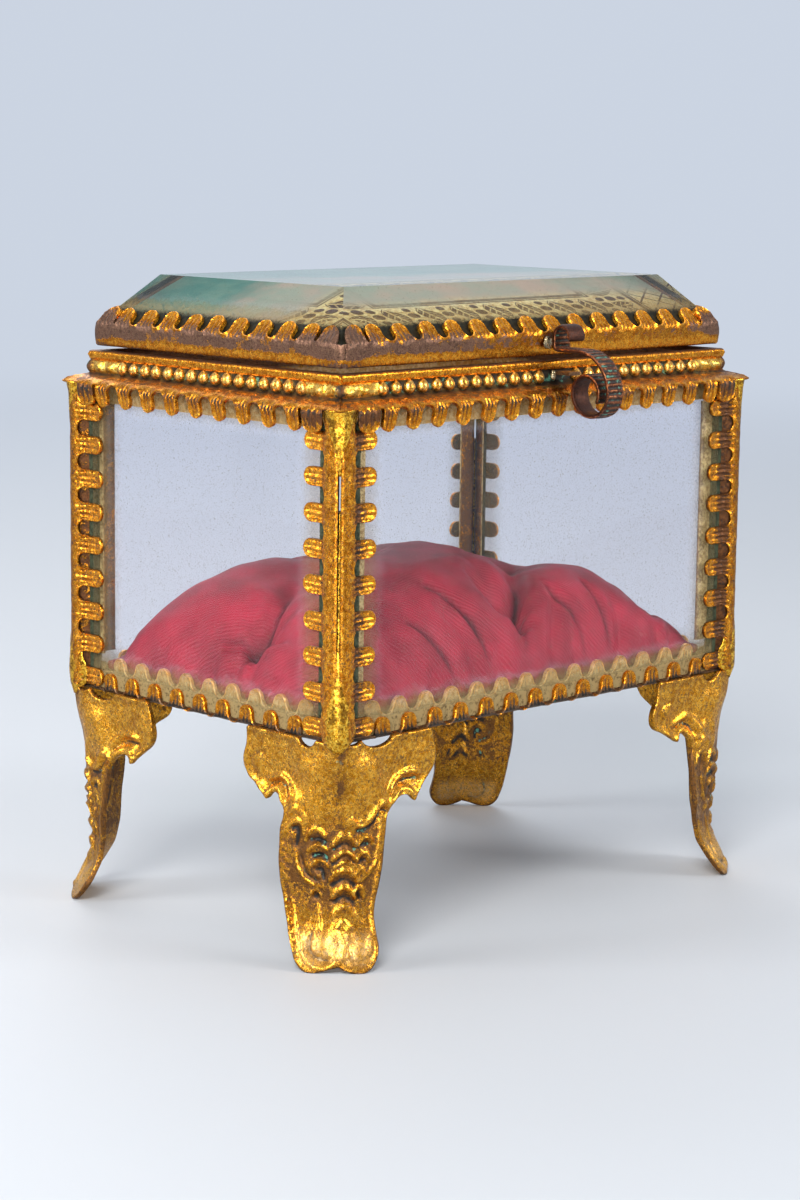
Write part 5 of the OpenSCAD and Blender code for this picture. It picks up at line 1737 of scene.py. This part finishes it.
# start, end, depth and width of the folds
CREASES = [((1.0, -18.2), (8.5, -11.5), 3.6, 1.6), ((1.0, -18.2), (-1.5, -12.5), 1.8, 1.0),
           ((-13.5, -15.5), (-7.6, -25.0), 2.0, 0.9), ((-21.5, -20.0), (-14.4, -25.0), 1.5, 0.9),
           ((1.0, -18.2), (-1.0, -24.0), 1.2, 1.5), ((9.6, -17.5), (12.2, -24.8), 1.5, 0.8),
           ((17.9, -17.5), (17.2, -24.4), 1.5, 0.7), ((-33.0, -4.5), (-23.0, -0.5), 1.6, 1.5),
           ((-33.0, -4.5), (-36.0, 3.0), 1.0, 1.2), ((-33.0, -4.5), (-34.5, -13.0), 1.0, 1.2),
           ((22.0, 3.0), (8.5, -11.5), 2.2, 2.0), ((22.0, 3.0), (33.0, -8.0), 1.0, 1.8)]
low, high = box_mm("cushion")


def bag():
    """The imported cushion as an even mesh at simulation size."""
    mesh = NODES["cushion"].data.copy()
    thing = bpy.data.objects.new("cushion_silk", mesh)
    bpy.context.scene.collection.objects.link(thing)
    mesh.materials.clear()
    mesh.materials.append(silk)
    mesh.transform(Matrix.Scale(SIM, 4))
    remesh = thing.modifiers.new("even", "REMESH")
    remesh.mode, remesh.voxel_size = "VOXEL", 1.15 * MM * SIM
    bake(thing)
    return thing


def bake(thing):
    """Replaces the mesh by what its modifiers make of it."""
    found = bpy.data.meshes.new_from_object(thing.evaluated_get(bpy.context.evaluated_depsgraph_get()))
    thing.modifiers.clear()
    thing.data = found


def coordinates(thing):
    found = np.empty(len(thing.data.vertices) * 3)
    thing.data.vertices.foreach_get("co", found)
    return found.reshape(-1, 3)


def fill_bag(thing, frames=20):
    """Blows the bag up while the underside and the tufts are held."""
    at = coordinates(thing) / MM / SIM
    held = thing.vertex_groups.new(name="held")
    upper = at[:, 2] > low[2] + 3
    for x, y, depth, _ in TUFTS:
        near = upper & (np.hypot(at[:, 0] - x, at[:, 1] - MID_Y - y) < 1.0)
        held.add([int(i) for i in np.nonzero(near)[0]], 1.0, "REPLACE")
    held.add([int(i) for i in np.nonzero(at[:, 2] < low[2] + 1.2)[0]], 1.0, "REPLACE")
    cloth = thing.modifiers.new("filling", "CLOTH")
    cloth.settings.quality = 6
    cloth.settings.mass = 0.3
    cloth.settings.tension_stiffness = cloth.settings.compression_stiffness = 12
    cloth.settings.bending_stiffness = 0.6
    cloth.settings.vertex_group_mass = "held"
    cloth.settings.use_pressure = True
    cloth.settings.uniform_pressure_force = 4.0
    cloth.settings.effector_weights.gravity = 0.0
    cloth.settings.shrink_min = -0.04
    cloth.point_cache.frame_start, cloth.point_cache.frame_end = 1, frames
    for frame in range(1, frames + 1):
        bpy.context.scene.frame_set(frame)
    bake(thing)
    bpy.context.scene.frame_set(1)
    moved = coordinates(thing) / MM / SIM
    step = moved - at
    size = np.linalg.norm(step, axis=1)
    step *= (np.minimum(size, LARGEST_MOVE) / np.maximum(size, 1e-9))[:, None]
    print("filled: largest move %.2f mm" % size.max())
    return at + step


cushion = bag()
filled = fill_bag(cushion)
cushion.vertex_groups.clear()
cushion.data.vertices.foreach_set("co", (filled * MM).ravel())
finer = cushion.modifiers.new("finer", "SUBSURF")
finer.levels = finer.render_levels = 1
bake(cushion)
print("bag", len(cushion.data.polygons), "faces")

# %% [markdown]
# ### Tufts and folds
# Old silk keeps sharp folds that run out from its stitches. Finer cloth would take very long, so they are
# pressed in as lines with a depth and a width, with small rays round each tuft. The attribute fold
# carries them to the silk's colour as painted shade, darkest in the folds and at the tufts.
# %% Press the folds and dress the cushion
DEEPEST = 9.0


def pressed(points):
    """Tufts and folds pressed into points, and how much painted shade of the folds and tufts each point
    gets, from 0 to 1.
    """
    x, y, z = points[:, 0], points[:, 1] - MID_Y, points[:, 2].copy()
    top = smoothstep(low[2] + 1.0, low[2] + 6.0, z)
    fold = np.zeros(len(points))
    drop = np.zeros(len(points))
    for tx, ty, depth, wide in TUFTS:
        r = np.hypot(x - tx, y - ty)
        turn = np.arctan2(y - ty, x - tx)
        ray = 1 + 0.14 * np.cos(7 * turn + tx) * smoothstep(0.5, 3.0, r)
        dip = np.exp(-(r / wide) ** 1.3) * ray
        drop = np.maximum(drop, depth * dip)
        fold = np.maximum(fold, bell(r, 0, 1.6))
    for start, end, depth, wide in CREASES:
        middle = ((start[0] + end[0]) / 2 + 0.8, (start[1] + end[1]) / 2 - 0.5)
        line = smooth_line([start, middle, end], 1.0)
        d = near_line(np.column_stack([x, y]), line)
        along = np.hypot(x - start[0], y - start[1]) / math.dist(start, end)
        width = wide * (0.45 + 0.9 * along)
        drop = drop + depth * np.exp(-(d / width) ** 1.5) * smoothstep(1.35, 0.7, along)
        fold = np.maximum(fold, bell(d, 0, 0.45) * smoothstep(1.1, 0.5, along) * min(1, depth / 2))
    z += top * (0.25 * wobble(x, y, 9.0, 81) - np.minimum(drop, DEEPEST))
    found = np.column_stack([points[:, 0], points[:, 1], z])
    return np.clip(found, low, high + (0, 0, 0.4)), fold * top


shaped, fold = pressed(coordinates(cushion) / MM)
cushion.data.vertices.foreach_set("co", (shaped * MM).ravel())
# fold is the painted shade of the folds and tufts, which the silk reads
for key, value in (("fold", fold), ("weft", shaped[:, 0] * 0.8 + shaped[:, 1] * 0.6 + 0.5 * shaped[:, 2])):
    layer = cushion.data.attributes.new(key, "FLOAT", "POINT")
    layer.data.foreach_set("value", value.astype(np.float32))
cushion.data.shade_smooth()
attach(cushion, "casket")
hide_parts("cushion")
print("cushion", len(cushion.data.polygons), "faces, top at %.1f mm" % shaped[:, 2].max())
# %% [markdown]
# ## Floor and light
# The box stands on a pale board in soft light. The lamps are big for the size of the box, because small
# lamps would burn points into the gilding. The floor is one plane that fades into the colour of the air,
# which is simpler than a curved backdrop. It shows darker in the metal, and the world warmer and
# brighter on one side, so that the gilding has something to mirror.
# %% Floor and lamps
BACKDROP = (0.60, 0.66, 0.76, 1)
BEHIND = (0.70, 0.70, 0.15)
HEART = (0, 0, 0.05)
LAMPS = {
    "key": ((-0.60, -0.38, 0.58), 0.32, 5.6, (1.0, 0.96, 0.90)),
    "fill": ((0.42, -0.72, 0.34), 0.32, 3.4, (1.0, 0.98, 0.95)),
    "side": ((-0.74, 0.40, 0.34), 0.32, 3.4, (1.0, 0.98, 0.95)),
    "near": ((-0.52, -0.48, 0.15), 0.22, 1.7, (1.0, 0.97, 0.92)),
    "back": ((0.30, 0.62, 0.50), 0.50, 1.8, (1.0, 1.0, 1.0)),
    "top": ((0.05, 0.05, 0.85), 0.55, 1.4, (1.0, 1.0, 1.0)),
}


def rays(add):
    """Whether a ray looks at the scene, straight or through glass, whether it passed glass, and whether it
    was mirrored."""
    kinds = add("LightPath").node.outputs
    through = kinds["Is Transmission Ray"]
    return add("MAXIMUM", kinds["Is Camera Ray"], through), through, kinds["Is Glossy Ray"]


def floor_paint():
    """A smooth pale board. Far from the object it fades into the colour of the air behind it."""
    made, add = material("floor_paint")
    looks, through, mirrored = rays(add)
    far = add("VectorMath", add("NewGeometry", out="Position"), operation="LENGTH")
    board = add("BsdfPrincipled", (0.60, 0.64, 0.70, 1), Roughness=0.6)
    in_metal = add("*", add("*", mirrored, 0.30), add("-", 1.0, through))
    board = add("MixShader", in_metal, board, add("BsdfDiffuse", (0.10, 0.08, 0.06, 1)))
    air = add("MixShader", looks, add("Emission", BACKDROP, 0.4), add("Emission", BACKDROP, 1.0))
    add("OutputMaterial", add("MixShader", add("MapRange", far, 0.20, 0.95), board, air))
    return made


def studio():
    """The air round the casket, as light, as a background and as what the metal mirrors."""
    world = bpy.data.worlds.new("studio")
    world.use_nodes = True
    world.node_tree.nodes.clear()
    add = partial(add_node, world.node_tree)
    looks, _, mirrored = rays(add)
    way = add("VectorMath", add("TexCoord", out="Generated"), BEHIND, operation="DOT_PRODUCT")
    warm = add("Mix", add("MapRange", way, -0.2, 0.6), (0.72, 0.66, 0.58, 1), BACKDROP)
    in_metal = add("Background", warm, add("MapRange", way, -0.4, 0.75, 0.50, 1.05))
    light = add("MixShader", mirrored, add("Background", (0.62, 0.68, 0.76, 1), 0.28), in_metal)
    add("OutputWorld", add("MixShader", looks, light, add("Background", BACKDROP, 1.0)))
    return world


bpy.ops.mesh.primitive_plane_add(size=6, location=(0, 0, 0))
floor = bpy.context.active_object
floor.name = "floor"
floor.data.materials.append(floor_paint())

for name, (place, size, power, tint) in LAMPS.items():
    light = bpy.data.lights.new(name, "AREA")
    light.size, light.energy, light.color = size, power, tint
    lamp = bpy.data.objects.new(name, light)
    lamp.location = place
    lamp.rotation_euler = (Vector(HEART) - Vector(place)).to_track_quat("-Z", "Y").to_euler()
    bpy.context.scene.collection.objects.link(lamp)
bpy.context.scene.world = studio()
print("lamps", len(LAMPS), "floor", [round(v, 1) for v in floor.dimensions])

# %% [markdown]
# ## Camera
# A long lens looks down a little at the front left corner, from the height of the lid, so that both
# faces and the top show. A short lens close by would make the near corner too big.
# %% Camera
YAW, PITCH, ROLL = (math.radians(v) for v in (44.803, 9.374, 0.724))
EYE = (-0.29815, MID_Y * MM - 0.29802, 0.11302)

ahead = Vector((math.sin(YAW) * math.cos(PITCH), math.cos(YAW) * math.cos(PITCH), -math.sin(PITCH)))
level = Vector((math.cos(YAW), -math.sin(YAW), 0))
upright = level.cross(ahead)
right = math.cos(ROLL) * level + math.sin(ROLL) * upright
up = math.cos(ROLL) * upright - math.sin(ROLL) * level
camera = bpy.data.objects.new("camera", bpy.data.cameras.new("camera"))
camera.data.lens, camera.data.sensor_width = 85, 36
camera.matrix_world = Matrix.Translation(EYE) @ Matrix((right, up, -ahead)).transposed().to_4x4()
scene = bpy.context.scene
scene.collection.objects.link(camera)
scene.camera = camera
scene.view_settings.view_transform = "Standard"
print("camera at", [round(v, 4) for v in camera.location])
